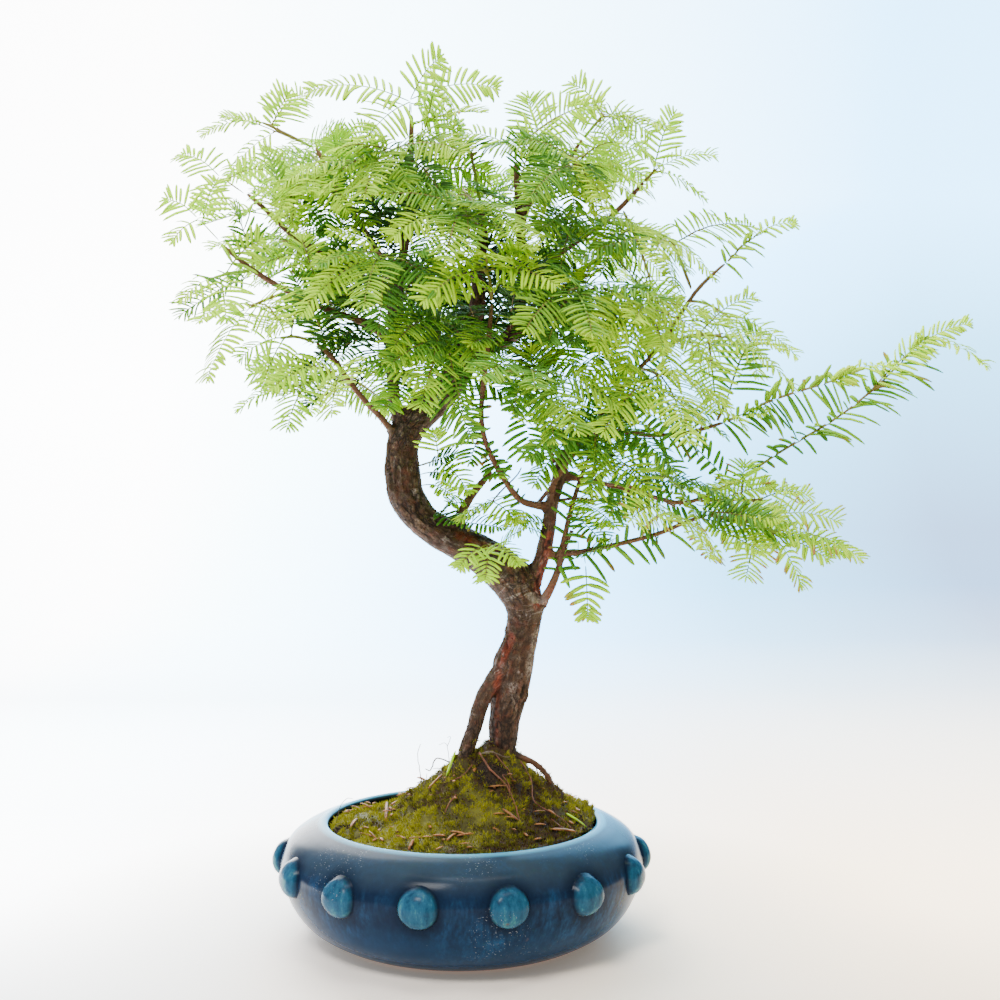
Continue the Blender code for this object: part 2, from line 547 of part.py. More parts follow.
def leafy_rib(path, side, spans, leaf, width, height, sag):
    """Build a slim rib with a pair of flat tapering leaflets on each leafy span.

    path gives a point for a share of the way, side points to the right of the frond's upper face,
    and spans lists (start, end, leaf share), where a leaf share of 0 leaves the span bare.
    """
    shares = [spans[0][0]] + [span[1] for span in spans]
    vertices = []
    frames = []
    for share in shares:
        ahead = path(min(share + 0.02, 1.0)) - path(max(share - 0.02, 0.0))
        tangent = ahead.normalized()
        up = side.cross(tangent).normalized()
        right = tangent.cross(up)
        size = (1.0 - 0.4 * share) * (1.0 if share else 0.6)
        point = path(share)
        frames.append((point, tangent, up, right))
        vertices.append(point + up * height * 0.6 * size)
        vertices.append(point - up * height * 0.4 * size - right * width * 0.5 * size)
        vertices.append(point - up * height * 0.4 * size + right * width * 0.5 * size)
    faces = [(0, 1, 2)]
    for index, (start, end, amount) in enumerate(spans):
        ridge, left, right_low = 3 * index, 3 * index + 1, 3 * index + 2
        sides = ((ridge, ridge + 3, left + 3, left), (ridge, right_low, right_low + 3, ridge + 3))
        faces.append((left, left + 3, right_low + 3, right_low))
        if not amount:
            faces.extend(sides)
            continue
        point, tangent, up, right = frames[index]
        lean = math.radians(68.0 - 34.0 * start)
        for hand, quad in ((-1.0, sides[0]), (1.0, sides[1])):
            middle = sum((vertices[corner] for corner in quad), Vector()) / 4.0
            reach = tangent * math.cos(lean) + right * hand * math.sin(lean) - up * sag
            tip = len(vertices)
            vertices.append(middle + reach * leaf * amount)
            faces.extend((quad[i], quad[(i + 1) % 4], tip) for i in range(4))
    last = 3 * (len(shares) - 1)
    tip = len(vertices)
    point, tangent, up, right = frames[-1]
    vertices.append(point + tangent * leaf * 0.45 - up * sag * leaf * 0.3)
    faces.extend(((last, tip, last + 1), (last, last + 2, tip), (last + 1, tip, last + 2)))
    return vertices, faces


def frond_spans(length, bare):
    """Divide a frond into a bare stalk and equal leafy spans, its leaves longest in the middle."""
    pairs = max(3, round((length - bare) / LEAF_PITCH))
    first = bare / length
    spans = [(0.0, first, 0.0)]
    for index in range(pairs):
        start = first + (0.97 - first) * index / pairs
        end = first + (0.97 - first) * (index + 1) / pairs
        middle = (index + 0.5) / pairs
        spans.append((start, end, 0.55 + 0.45 * math.sin(math.pi * min(0.22 + 0.85 * middle, 1.0))))
    return spans


def blade_facing(place, face):
    """Return the way a blade's upper side looks: to the front by its share, or up and outwards."""
    if face:
        return Vector((0.0, -face, 1.0 - 0.75 * face)).normalized()
    outward = Vector((place.x - CROWN_X, place.y - CROWN_Y, 0.0)).normalized()
    return (outward * OUTWARD_TILT + Vector((0.0, 0.0, 1.0))).normalized()


def frond(start, tip, face, roll, leaf):
    """Build an arching frond from a place on a stem to its tip."""
    chord = tip - start
    length = chord.length
    crown = start + chord * 0.5 + Vector((0.0, 0.0, 0.2 * length))

    def path(share):
        return start * (1 - share) ** 2 + crown * 2.0 * share * (1 - share) + tip * share ** 2

    upward = blade_facing(start, face)
    if abs(chord.normalized().dot(upward)) > 0.9:
        upward = Vector((0.0, -1.0, 0.2))
    upward = Matrix.Rotation(roll, 3, chord.normalized()) @ upward
    side = chord.cross(upward).normalized()
    spans = frond_spans(length * 1.06, STALK)
    return leafy_rib(path, side, spans, leaf, RIB_WIDTH, RIB_HEIGHT, LEAF_SAG)


def beyond_stalk(solid):
    """Return a frond without the faces of its first, buried end."""
    vertices, faces = solid
    return vertices, [face for face in faces if min(face) >= 3]


def stem_route(points, wood):
    """Return a smooth route for a stem, its start moved out until it stands just clear of the wood."""
    points = [Vector(point) for point in points]
    count = STEM_SPANS * (len(points) - 1)
    share = 0.0
    while share < 0.9:
        rest = [curve_point(points, share + (1.0 - share) * i / count) for i in range(count + 1)]
        route = stem_radii(rest)
        if stands_outside(route[0], wood) and lies_clear(tube(route, STEM_SIDES), [wood], GAP):
            return route
        share += 0.004
    raise ValueError("a stem never leaves the wood")


def stem_radii(points):
    """Give a stem's points their radii, thinning to the tip."""
    last = len(points) - 1
    return [(*point, STEM_RADIUS - 0.4 * index / last) for index, point in enumerate(points)]


def stands_outside(place, wood):
    """Tell whether a place is outside the wood."""
    point = Vector(place[:3])
    near, normal, _, _ = wood.find_nearest(point)
    return (point - near).dot(normal) > 0.0


def sparse_shoot(route, pairs, face):
    """Build a long shoot whose needles stand on the stem itself, in pairs with bare wood between."""
    points = [Vector(place[:3]) for place in route]
    length = sum((b - a).length for a, b in zip(points, points[1:]))
    foot = NEEDLE_FOOT / length
    spans = [(0.0, 0.03, 0.0)]
    pitch = 0.95 / pairs
    for index in range(pairs):
        start = 0.03 + pitch * index
        spans.append((start, start + pitch - foot, 0.0))
        spans.append((start + pitch - foot, start + pitch, 0.8 + 0.2 * math.sin(2.1 * index)))
    upward = Vector((0.0, -face, 1.0 - 0.75 * face)).normalized()
    side = (points[-1] - points[0]).cross(upward).normalized()

    def path(share):
        return curve_point(points, share)

    return leafy_rib(path, side, spans, LEAF, SHOOT_WIDTH, SHOOT_HEIGHT, SHOOT_SAG)


def seek_frond(rng, start, tip, spray, trees, own):
    """Return a frond near the wanted tip that lies clear of everything, or None."""
    leaf = spray.get("leaf", LEAF)
    face = spray.get("face", 0.0)
    chord = Vector(tip) - start
    for attempt in range(TRIES):
        loose = attempt / TRIES
        spin = Matrix.Rotation(rng.uniform(-0.7, 0.7) * loose, 3, "Z")
        nod = Matrix.Rotation(rng.uniform(-0.6, 0.6) * loose, 3, chord.orthogonal().normalized())
        aim = spin @ nod @ chord * (1.0 - 0.4 * loose)
        roll = rng.uniform(-0.35, 0.35) * (1.0 + 2.0 * loose)
        found = frond(start, start + aim, face, roll, leaf * (1.0 - 0.25 * loose))
        if lies_clear(found, trees, CLEAR) and lies_clear(beyond_stalk(found), own, CLEAR):
            return found
    return None


def wanted_tips(rng, route, spray):
    """List the places on a stem and the tips that its fronds aim for."""
    points = [Vector(place[:3]) for place in route]
    heading = (points[-1] - points[-3]).normalized()
    end = points[-1] - heading * 1.5
    wanted = []
    tips = spray.get("tips", ())
    for index, tip in enumerate(tips):
        share = 1.0 - 0.5 * index / max(len(tips), 1)
        base = end if index == 0 else curve_point(points, share * 0.96)
        wanted.append((base, Vector(tip)))
    if not tips:
        onward = (heading + Vector((0.0, 0.0, -0.6))).normalized()
        wanted.append((end, end + onward * rng.uniform(*END_FROND)))
    pairs = spray.get("pairs", 0)
    for index in range(pairs):
        share = 0.88 - 0.5 * index / max(pairs, 1)
        for hand in (-1.0, 1.0):
            base = curve_point(points, share + 0.03 * hand)
            ahead = (curve_point(points, share + 0.1) - base).normalized()
            across = ahead.cross(Vector((0.0, 0.0, 1.0))).normalized()
            angle = math.radians(rng.uniform(*SIDE_LEAN))
            aim = ahead * math.cos(angle) + across * hand * math.sin(angle)
            aim += Vector((0.0, 0.0, rng.uniform(-0.6, 0.0)))
            wanted.append((base, base + aim.normalized() * rng.uniform(*SIDE_FROND)))
    return wanted


def build_sprays(trunk):
    """Build every leafy spray, its fronds clear of the wood and of the other sprays."""
    rng = random.Random(SEED)
    wood = tree_of(solid_of(trunk))
    green = make_material("needles", (0.2, 0.42, 0.04), 0.5)
    routes = {name: stem_route(spray["route"], wood) for name, spray in SPRAYS.items()}
    stems = {}
    for name, spray in SPRAYS.items():
        if "needles" in spray:
            stems[name] = sparse_shoot(routes[name], spray["needles"], spray.get("face", 0.0))
        else:
            stems[name] = tube(routes[name], STEM_SIDES)
    stem_trees = {name: tree_of(solid) for name, solid in stems.items()}
    placed = []
    for name, spray in SPRAYS.items():
        item = make_object(name, stems[name], green)
        trees = [wood] + [tree for other, tree in stem_trees.items() if other != name] + placed
        own = []
        parts = []
        for start, tip in wanted_tips(rng, routes[name], spray):
            found = seek_frond(rng, start, tip, spray, trees, own)
            if found is None:
                print("no room for a frond on", name)
                continue
            own.append(tree_of(beyond_stalk(found)))
            placed.append(tree_of(found))
            parts.append(make_object("frond", found, green))
        combine(item, parts, "UNION")
        shade(item, 30)


def main():
    """Model the whole bonsai."""
    clear_scene()
    trunk = build_trunk()
    build_ground()
    build_pot()
    build_sprays(trunk)


main()
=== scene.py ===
"""Finish of the dawn redwood bonsai: its needles, twigs, bark, moss, soil and glazed pot.

Lengths are metres, +Z is up and the front of the tree faces -Y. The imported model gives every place:
a leaflet of the model becomes a few real needles, and the wood and the ground are made again from
their solids with the surface that the real ones have. The pot is turned again at its solid's size.
"""

import collections
import functools
import math
import random

import bmesh
import bpy
import numpy as np
from bpy.props import FloatProperty, FloatVectorProperty, IntProperty, PointerProperty
from mathutils import Matrix, Vector, noise
from mathutils.bvhtree import BVHTree


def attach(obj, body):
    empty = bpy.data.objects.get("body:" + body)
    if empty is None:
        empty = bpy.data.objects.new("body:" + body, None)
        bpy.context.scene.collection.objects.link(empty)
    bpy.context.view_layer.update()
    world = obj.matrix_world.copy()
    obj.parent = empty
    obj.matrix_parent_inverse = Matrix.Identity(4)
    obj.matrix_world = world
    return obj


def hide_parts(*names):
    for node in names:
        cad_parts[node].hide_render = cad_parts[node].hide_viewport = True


bl_info = {
    "name": "Dawn Redwood Bonsai",
    "version": (1, 0, 0),
    "blender": (4, 5, 0),
    "location": "View3D > Sidebar > Bonsai",
    "description": "Finishes a dawn redwood bonsai: needles, twigs, bark, moss, soil and glazed pot",
    "category": "Add Mesh",
}

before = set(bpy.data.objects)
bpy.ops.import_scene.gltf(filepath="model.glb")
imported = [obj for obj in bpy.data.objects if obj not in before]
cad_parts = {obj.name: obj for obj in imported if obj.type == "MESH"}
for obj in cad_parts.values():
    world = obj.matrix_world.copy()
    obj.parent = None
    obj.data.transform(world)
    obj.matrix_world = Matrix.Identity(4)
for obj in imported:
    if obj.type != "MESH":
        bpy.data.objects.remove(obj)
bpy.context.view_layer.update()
SEED = 5
UP = Vector((0.0, 0.0, 1.0))
# The distance under which two corners of the model are taken as one
MERGE = 0.00001
# The shortest edge of a leaflet's point, by which leaflets are told from ribs and stems
SHORTEST_LEAFLET = 0.0048

# The sprays, in the groups that are made as one piece
SPRAY_GROUPS = {
    "crown": ("crown_tip", "crown_front", "crown_back", "crown_shoulder", "centre_high_front", "centre_top",
              "centre_back_high", "fork_front", "fork_right", "fork_back", "fork_low_right"),
    "left": ("upper_left_tip", "upper_left_front", "upper_left_back", "left_reach", "left_tip",
             "left_tip_low", "left_skirt", "left_back", "low_left_tip", "low_left_low", "low_left_front",
             "low_left_back"),
    "middle": ("centre_bright", "centre_low_front", "centre_fan", "centre_back_low", "right_inner_tip",
               "right_inner_front", "peak_low", "bend_frond", "stub_frond", "trunk_frond", "hanging_frond"),
    "right": ("right_top", "right_peak", "right_peak_front", "right_peak_back", "right_wing_tip",
              "right_wing_front", "right_wing_down", "right_wing_back", "shoot_upper", "shoulder_front",
              "shoulder_back", "shoulder_low", "shoulder_high"),
    "low_right": ("long_right_leaf", "upright_frond", "shoot_middle", "middle_front", "middle_back",
                  "shoot_long", "low_right_tip", "low_right_top", "low_right_mid"),
}
# The sprays with coarse, older needles, and those with scorched ones
MATURE_SPRAYS = (
    "shoot_long", "shoot_middle", "middle_front", "middle_back", "long_right_leaf", "upright_frond",
    "centre_fan", "right_inner_front", "fork_low_right",
)
SCORCHED_SPRAYS = ("hanging_frond", "low_right_top", "low_right_mid", "low_right_tip")
# The sprays that are filled with smaller fronds between the model's own
FULL_SPRAYS = (
    "crown_front", "centre_high_front", "centre_top", "centre_back_high", "fork_front", "fork_right",
    "fork_back", "upper_left_front", "upper_left_back", "left_back", "centre_bright", "centre_low_front",
    "centre_fan", "centre_back_low", "right_inner_tip", "right_inner_front", "peak_low", "right_peak",
    "right_peak_front", "right_peak_back",
)
# The sprays that are made smaller than the model's, with their scale
SMALL_SPRAYS = {"crown_tip": 0.84, "trunk_frond": 0.62, "stub_frond": 0.7, "bend_frond": 0.7,
                "hanging_frond": 0.84, "left_tip": 0.84, "left_reach": 0.88}
# Sprays with their own youth and coarseness; a low youth also stands for painted shade inside the crown
SPECIAL_SPRAYS = {"crown_tip": (0.85, 1.0), "hanging_frond": (0.5, 1.4), "fork_front": (0.4, 0.5),
                  "centre_high_front": (0.5, 0.4), "centre_bright": (0.9, 0.7), "trunk_frond": (0.85, 0.6),
                  "stub_frond": (0.8, 0.5), "bend_frond": (0.7, 0.5)}

# Stems that carry single needles, in mm, and rows of these: where on the stem they start and end, the step,
# the shortest and the longest in mm, the turn from the stem in degrees, how far they arch, and their youth
STEM_LINES = {
    "shoot_long": ((157, 18, 262), (176, 19, 274), (197, 20, 288), (232, 20, 309), (258, 18, 331),
                   (283, 16, 357)),
    "shoot_middle": ((157, 0, 303), (172, -2, 311), (192, -6, 319), (218, -8, 327), (231, -8, 333)),
    "shoot_upper": ((157, -6, 398), (166, -5, 408), (174, -4, 414)),
    "right_rise": ((66, -28, 284), (75, -26, 297), (98, -16, 329), (118, -12, 347)),
    "low_right": ((54, -14, 224), (66, -24, 226), (92, -36, 232), (114, -42, 238), (126, -44, 244)),
    "front_rise": ((34, -28, 256), (25, -38, 268), (14, -50, 288), (11, -58, 305), (14, -62, 323)),
    "long_right": ((76, -2, 269), (109, 8, 261), (134, 14, 253), (158, 18, 263)),
    "mid_right": ((82, 0, 298), (95, 2, 299), (113, 4, 295), (140, 2, 298)),
    "red_twig": ((57, -18, 216), (61, -22, 240), (67, -18, 262), (76, -12, 286)),
}
STEM_NEEDLES = {
    "shoot_long": (
        (0.02, 0.5, 5, 8, 13, 112, 0.4, 0.4), (0.04, 0.5, 9, 6, 11, -60, 0.3, 0.35),
        (0.42, 0.93, 4.4, 18, 28, -34, 0.42, 0.5), (0.48, 0.95, 7, 6, 11, 75, 0.4, 0.55),
        (0.7, 0.84, 8, 13, 16, 62, 0.05, 0.5), (0.9, 1, 1.2, 9, 14, -40, 0.3, 0.85),
        (0.92, 1, 1.4, 7, 10, 40, 0.35, 0.9),
    ),
    "shoot_middle": (
        (0, 0.9, 6, 7, 11, 65, 0.4, 0.6), (0.35, 0.9, 6, 12, 18, 38, 0.12, 0.6),
        (0.3, 0.98, 5, 14, 22, -75, 0.2, 0.5), (0, 0.4, 4.5, 14, 21, -50, 0.4, 0.4),
        (0.85, 1, 1.5, 9, 13, 35, 0.3, 0.9), (0.85, 1, 1.5, 9, 13, -35, 0.3, 0.85),
    ),
    "shoot_upper": ((0, 1, 4.5, 8, 13, 60, 0.25, 0.6), (0, 1, 4.5, 10, 16, -55, 0.4, 0.6)),
    "right_rise": ((0, 1, 3.6, 15, 24, 58, 0.4, 0.4), (0, 1, 3.6, 15, 25, -62, 0.3, 0.4)),
    "low_right": ((0, 1, 7, 8, 14, 72, 0.1, 0.4), (0, 1, 8, 12, 20, -52, 0.3, 0.4)),
    "front_rise": ((0, 0.9, 7, 6, 11, 65, 0.3, 0.3), (0, 0.9, 7, 6, 12, -65, 0.3, 0.3)),
    "long_right": ((0, 1, 5, 8, 14, 68, 0.2, 0.3), (0, 1, 5, 8, 14, -60, 0.3, 0.3)),
    "mid_right": ((0, 1, 5, 10, 16, 60, 0.3, 0.45), (0, 1, 5, 12, 18, -58, 0.3, 0.4)),
    "red_twig": ((0, 1, 6, 8, 14, 65, 0.2, 0.35), (0, 1, 6, 8, 15, -62, 0.3, 0.35)),
}

# Fronds listed one by one: the foot and the tip, the longest needle and the step in mm, how squarely the
# frond faces the front, its youth, and the share of its needles that are scorched, where there is one
# A low youth in these rows also stands for painted shade inside the crown
PLACED_FRONDS = (
    (-29, -11, 479, 12, -35, 483, 13, 2.6, 0.3, 1, 0.25),
    (-123, 14, 486, -145, 8, 489, 10, 2, 0.4, 1.05), (-119, 16, 485, -109, 14, 502, 15, 2.8, 0.8, 0.75),
    (18, -68, 372, -5, -88, 376, 19, 2.9, 0.35, 0.8), (18, -68, 373, 38, -84, 380, 16, 2.8, 0.35, 0.8),
    (25, -62, 351, 6, -84, 340, 14, 2.8, 0.5, 0.45), (58, -6, 363, 87, -50, 347, 15, 2.6, 0.5, 0.9),
    (79, -10, 372, 124, -30, 372, 19, 2.8, 0.45, 0.85),
    (89, -10, 365, 116, -40, 341, 18, 2.6, 0.5, 0.75), (72, -8, 376, 73, -40, 389, 15, 2.8, 0.5, 0.8),
    (81, -14, 364, 83, -36, 333, 12, 2.6, 0.6, 0.3), (49, -2, 365, 34, -40, 342, 14, 2.8, 0.4, 0.35),
    (54, -6, 369, 66, -22, 334, 17, 3, 0.7, 0.5), (39, 6, 359, 60, -14, 336, 17, 3, 0.6, 0.4),
    (80, -17, 382, 74, -26, 347, 17, 3, 0.7, 0.6), (66, -12, 376, 86, -20, 344, 16, 3, 0.6, 0.5),
    (45, -24, 312, 19, -52, 329, 19, 3.2, 0.3, 0.5), (45, -24, 313, 39, -50, 337, 19, 3.2, 0.3, 0.5),
    (45, -24, 312, 66, -48, 329, 19, 3.2, 0.3, 0.5), (45, -24, 312, 35, -60, 301, 15, 3, 0.5, 0.85),
    (45, -24, 312, 62, -55, 299, 15, 2.8, 0.5, 0.9), (36, -28, 310, 41, -34, 279, 17, 3.7, 0.9, 0.4),
    (75, -27, 297, 64, -50, 322, 19, 3, 0.5, 0.4), (78, -25, 301, 87, -40, 330, 18, 3, 0.5, 0.45),
    (75, -27, 296, 54, -56, 308, 17, 3.2, 0.4, 0.35), (81, -24, 305, 107, -34, 316, 19, 3.2, 0.5, 0.45),
    (75, -27, 294, 88, -56, 286, 19, 3, 0.5, 0.3), (70, -28, 289, 56, -58, 291, 16, 3.2, 0.4, 0.3),
    (76, -27, 293, 105, -62, 264, 21, 3.4, 0.4, 0.72),
    (71, -28, 288, 78, -60, 271, 16, 3.2, 0.4, 0.35, 0.1),
    (11, -44, 296, 6, -52, 275, 11, 3.2, 0.6, 0.35, 0.25),
    (15, -38, 284, 22, -48, 268, 10, 3.2, 0.6, 0.35, 0.3),
    (66, -20, 257, 90, -52, 244, 17, 2.3, 0.35, 1.05),
    (65, -19, 250, 79, -40, 231, 12, 3.2, 0.6, 0.4, 0.2),
    (51, -12, 242, 29, -30, 246, 9, 2.8, 0.4, 0.6), (50, -12, 236, 34, -28, 240, 9, 2.8, 0.4, 0.6),
    (-20, -4, 279, -5, -14, 282, 10, 2.2, 0.5, 0.2), (-19, -4, 274, -6, -14, 271, 9, 2.2, 0.5, 0.25),
    (-18, -4, 267, -7, -14, 259, 8, 2.2, 0.4, 0.75), (2, 0, 256, -8, -10, 253, 8, 2, 0.4, 0.6),
    (-15, -4, 250, -4, -16, 242, 10, 2.4, 0.4, 0.2), (-13, -4, 249, -6, -14, 254, 8, 2.4, 0.4, 0.3),
    (-3, -6, 244, 25, -22, 238, 11, 3, 0.4, 0.4, 0.35),
    (0, -6, 245, 14, -24, 250, 9, 2.6, 0.4, 0.55, 0.1), (22, -8, 230, 33, -28, 239, 10, 2.4, 0.4, 0.7),
    (162, 17, 269, 109, -14, 315, 15, 5.2, 0.7, 0.4, 0.1),
    (106, -4, 265, 134, -30, 265, 13, 3, 0.4, 0.35, 0.15),
    (90, -2, 268, 115, -30, 272, 13, 3.2, 0.4, 0.3, 0.15),
    (145, 14, 259, 130, -14, 263, 13, 2.3, 0.3, 0.95),
    (146, 14, 259, 161, -16, 264, 13, 2.3, 0.3, 0.95), (144, 8, 252, 182, -6, 266, 11, 2.6, 0.5, 0.8),
    (174, 4, 257, 190, -20, 239, 11, 2, 0.4, 0.85), (181, 0, 264, 199, -12, 259, 9, 1.8, 0.3, 1.1),
    (135, -44, 251, 168, -66, 244, 14, 2.8, 0.35, 0.35),
    (137, -46, 246, 187, -56, 236, 18, 3.2, 0.4, 0.5),
    (139, -46, 243, 169, -66, 226, 14, 2.4, 0.35, 0.95, 0.1),
    (185, -52, 236, 203, -64, 223, 15, 2.3, 0.3, 1), (188, -52, 237, 218, -58, 225, 9, 2.1, 0.35, 1),
    (145, -46, 250, 179, -60, 246, 13, 2.8, 0.4, 0.75),
    (114, -36, 234, 101, -50, 241, 12, 4, 0.6, 0.35, 0.2),
    (67, -20, 224, 84, -44, 231, 9, 3, 0.4, 0.4, 0.2), (168, 1, 309, 180, -8, 307, 8, 2, 0.4, 0.8),
    (152, 1, 311, 133, -14, 304, 14, 3.2, 0.5, 0.45), (157, 1, 310, 145, -10, 319, 14, 3.2, 0.5, 0.5),
)

# Side twigs that carry some of them: the radius at both ends, and the line from inside the wood, in mm
SIDE_TWIGS = (
    (1.3, 0.8, ((54, -14, 279), (51, -20, 291), (48, -23, 302), (45, -24, 313))),
    (1.3, 0.7, ((44, -14, 254), (54, -22, 267), (63, -26, 281), (75, -28, 293))),
    (0.6, 0.4, ((13, 2, 250), (22, -10, 261), (32, -16, 271), (35, -18, 276))),
    (1, 0.5, ((53, -12, 256), (67, -16, 258), (76, -18, 257), (84, -20, 256))),
    (1.3, 1.1, ((65, -14, 239), (61, -14, 229), (58, -14, 218), (56, -12, 210))),
    (0.9, 0.6, ((77, -6, 267), (91, -10, 266), (105, -12, 263), (126, -14, 253))),
    (0.7, 0.6, ((36, -28, 310), (41, -26, 313), (45, -24, 313))),
)
# The angle of the needles from their rib at its foot, in degrees, and by how much it closes towards the
# tip: between the model's leaflets, and on fronds that are grown
LEAFLET_ANGLES = (74.0, 22.0)
FROND_ANGLES = (72.0, 34.0)
# The bare foot of a smaller frond, and the height from which they are kept small and low
STALK = 0.005
HIGH_TIPS = 0.485
# How many inner fronds grow: on wood thinner than this, above this, and inside this share of the crown
INNER_FRONDS = 150
INNER_GIRTH = 0.011
INNER_HEIGHT = 0.325
INNER_REACH = 0.84
# The crown's middle and radii, from which needles are painted darker inwards, as painted shade
CROWN_MIDDLE = Vector((-0.005, 0.0, 0.365))
CROWN_RADII = Vector((0.16, 0.17, 0.145))

# The wood: centre lines that the bark's grain follows, as x, y, z and radius in millimetres
GRAIN = (
    ((22, 6, 60, 6.5), (22, 6, 94, 8), (26, 3, 131, 10.4), (30, 0, 160, 12.7), (36, -2, 180, 10.2),
     (38, -3, 189, 10.8), (36, -4, 199, 12.3), (31, -4, 209, 13.8), (21, -3, 218, 12.8),
     (8, -2, 226, 11.4), (-8, 0, 234, 10.4), (-24, 2, 244, 10), (-34, 4, 257, 11.4),
     (-36, 5, 271, 11.2), (-37, 6, 288, 9.8), (-32, 7, 302, 10), (-20, 8, 315, 10.4),
     (-8, 9, 326, 9.4), (-1, 10, 340, 8), (2, 10, 354, 6.8)),
    ((30, -4, 157, 6), (22, -6, 153, 6), (14, -7, 143, 5.4), (10, -7, 133, 4.8), (7, -6, 120, 4.8),
     (2, -5, 108, 5), (1, -5, 88, 4.4)),
    ((2, 10, 350, 6.6), (7, 8, 367, 5.6), (10, 4, 380, 5), (9, 0, 395, 4.2), (13, -2, 413, 3.2)),
    ((-2, 10, 340, 6.4), (13, 16, 349, 5.6), (26, 20, 355, 5.2), (34, 22, 366, 4.8), (37, 20, 398, 3.6)),
    ((-35, 6, 294, 4.6), (-41, 2, 314, 4), (-42, -2, 332, 3.9), (-39, -4, 380, 4.2)),
    ((40, -4, 202, 5.4), (47, -9, 222, 4.8), (51, -14, 239, 4.4), (53, -14, 254, 4.2), (60, -10, 287, 3.2)),
)
# How many radii from its line the grain reaches, and how fine the bark's mesh is
GRAIN_REACH = 2.2
BARK_VOXEL = 0.00096

# Marks on the bark, as the two ends of a band and its half width in millimetres
BARK_MARKS = {
    "red": (((29, -12, 176), (22, -16, 158), 3.4), ((22, -16, 158), (20, -14, 138), 3.2),
            ((20, -12, 138), (20, -8, 108), 3), ((-2, -12, 236), (20, -14, 228), 3.5),
            ((45, -10, 200), (52, -16, 236), 4), ((44, -12, 196), (52, -16, 204), 4)),
    "pale": (((47, -6, 178), (42, -8, 156), 6), ((18, -17, 168), (23, -17, 159), 3.2),
             ((30, -14, 147), (33, -14, 131), 3.5), ((-28, -8, 262), (-16, -10, 250), 3)),
    "rough": (((-46, -4, 272), (-18, -6, 244), 9), ((44, -10, 206), (50, -8, 194), 6),
              ((24, -10, 178), (38, -6, 136), 5), ((20, -12, 182), (28, -16, 176), 5)),
    "wrinkled": (((22, -16, 207), (43, -16, 194), 13),),
}
# How much each axis counts in the distance from a mark's line
MARK_DEPTH = (1.0, 0.35, 1.0)
# The girth from which the bark has its full relief
THICK_WOOD = 0.016

# The pot: its outside, lip and inside as radius and height, and the bosses' rise from foot to top
POT_OUTSIDE = ((0.072, 0.0), (0.082, 0.004), (0.094, 0.012), (0.1025, 0.024), (0.1075, 0.040),
               (0.1065, 0.049), (0.1015, 0.0575), (0.093, 0.063), (0.0845, 0.0662))
POT_LIP = ((0.0825, 0.0666), (0.0806, 0.0661), (0.0799, 0.0648), (0.0806, 0.0632))
POT_INSIDE = ((0.0806, 0.0632), (0.088, 0.057), (0.0995, 0.048), (0.1005, 0.036), (0.0955, 0.024),
              (0.086, 0.014), (0.074, 0.0095))
POT_SIDES = 168
RIM_HEIGHT = 0.0665
BOSS_COUNT = 14
BOSS_SIDES = 26
BOSS_HEIGHT = 0.044
BOSS_TURN = math.radians(14.8)
BOSS_PROFILE = ((0.0122, -0.0012), (0.0113, 0.0003), (0.0106, 0.0013), (0.0101, 0.0024), (0.0092, 0.0036),
                (0.0077, 0.0046), (0.0056, 0.0052), (0.0030, 0.0055), (0.0, 0.0056))
# The width of the painted shade round the foot of each boss
BOSS_SHADE = 0.0065
DRAIN_COUNT = 3
DRAIN_CIRCLE = 0.034
DRAIN_RADIUS = 0.006

# The moss: its size and mesh, and the lowest top of the model's moss
MOSS_RADIUS = 0.0784
MOSS_RINGS = 48
MOSS_SIDES = 156
MOSS_THICK = 0.0048
MOSS_LOWEST = 0.058
# How high its cushions and tufts are and how high it climbs the wood, and how deep its bare places lie
CUSHION_HEIGHT = 0.0023
TUFT_HEIGHT = 0.0009
CLIMB_HEIGHT = 0.0045
CLIMB_REACH = 0.003
BARE_DEPTH = 0.0034
# How far it falls at the pot's wall, from which radius on and over what width
EDGE_FALL = 0.0022
EDGE_START = 0.0725
EDGE_WIDTH = 0.006
# Bare places as x, y and radius, in mm
BARE_PLACES = (
    (17, -19, 8.5), (23, -15, 6), (11, -15, 4), (72, -24, 8), (64, -37, 6), (-72, -14, 7), (-61, -36, 6),
    (-54, 46, 9), (40, -22, 3.5),
)
# Thin roots and dead twigs: the radius at both ends, and the line as x, y and height above the ground
ROOTLETS = (
    (0.62, 0.4, ((10, -9, 3), (17, -17, 3.2), (22, -22, 2.2), (27, -27, 1.8), (31, -34, 1.6),
                 (34, -44, -0.5))),
    (0.42, 0.3, ((35, -2, 3), (41, -11, 2), (42, -26, 1.6), (49, -28, 1.4), (58, -30, 1.4),
                 (66, -36, 0.5))),
    (0.4, 0.25, ((20, -10, 3), (25, -13, 4), (28, -16, 1), (30, -21, 0))),
    (0.5, 0.3, ((-3, -29, 1.8), (-6, -33, 2.2), (-9, -39, 0.6))),
    (0.35, 0.3, ((26, -18, 0.5), (24, -21, 2.2), (28, -26, 1.5), (27, -32, 0.4))),
    (0.3, 0.2, ((52, -33, 1), (57, -40, 1.8), (66, -40, 1), (70, -34, 0.4))),
    (0.4, 0.3, ((6, -14, 1.5), (0, -18, 1.8), (-7, -17, 0.5))),
    (0.3, 0.2, ((60, -22, 1.5), (66, -24, 2.6), (71, -31, 0.8))),
)
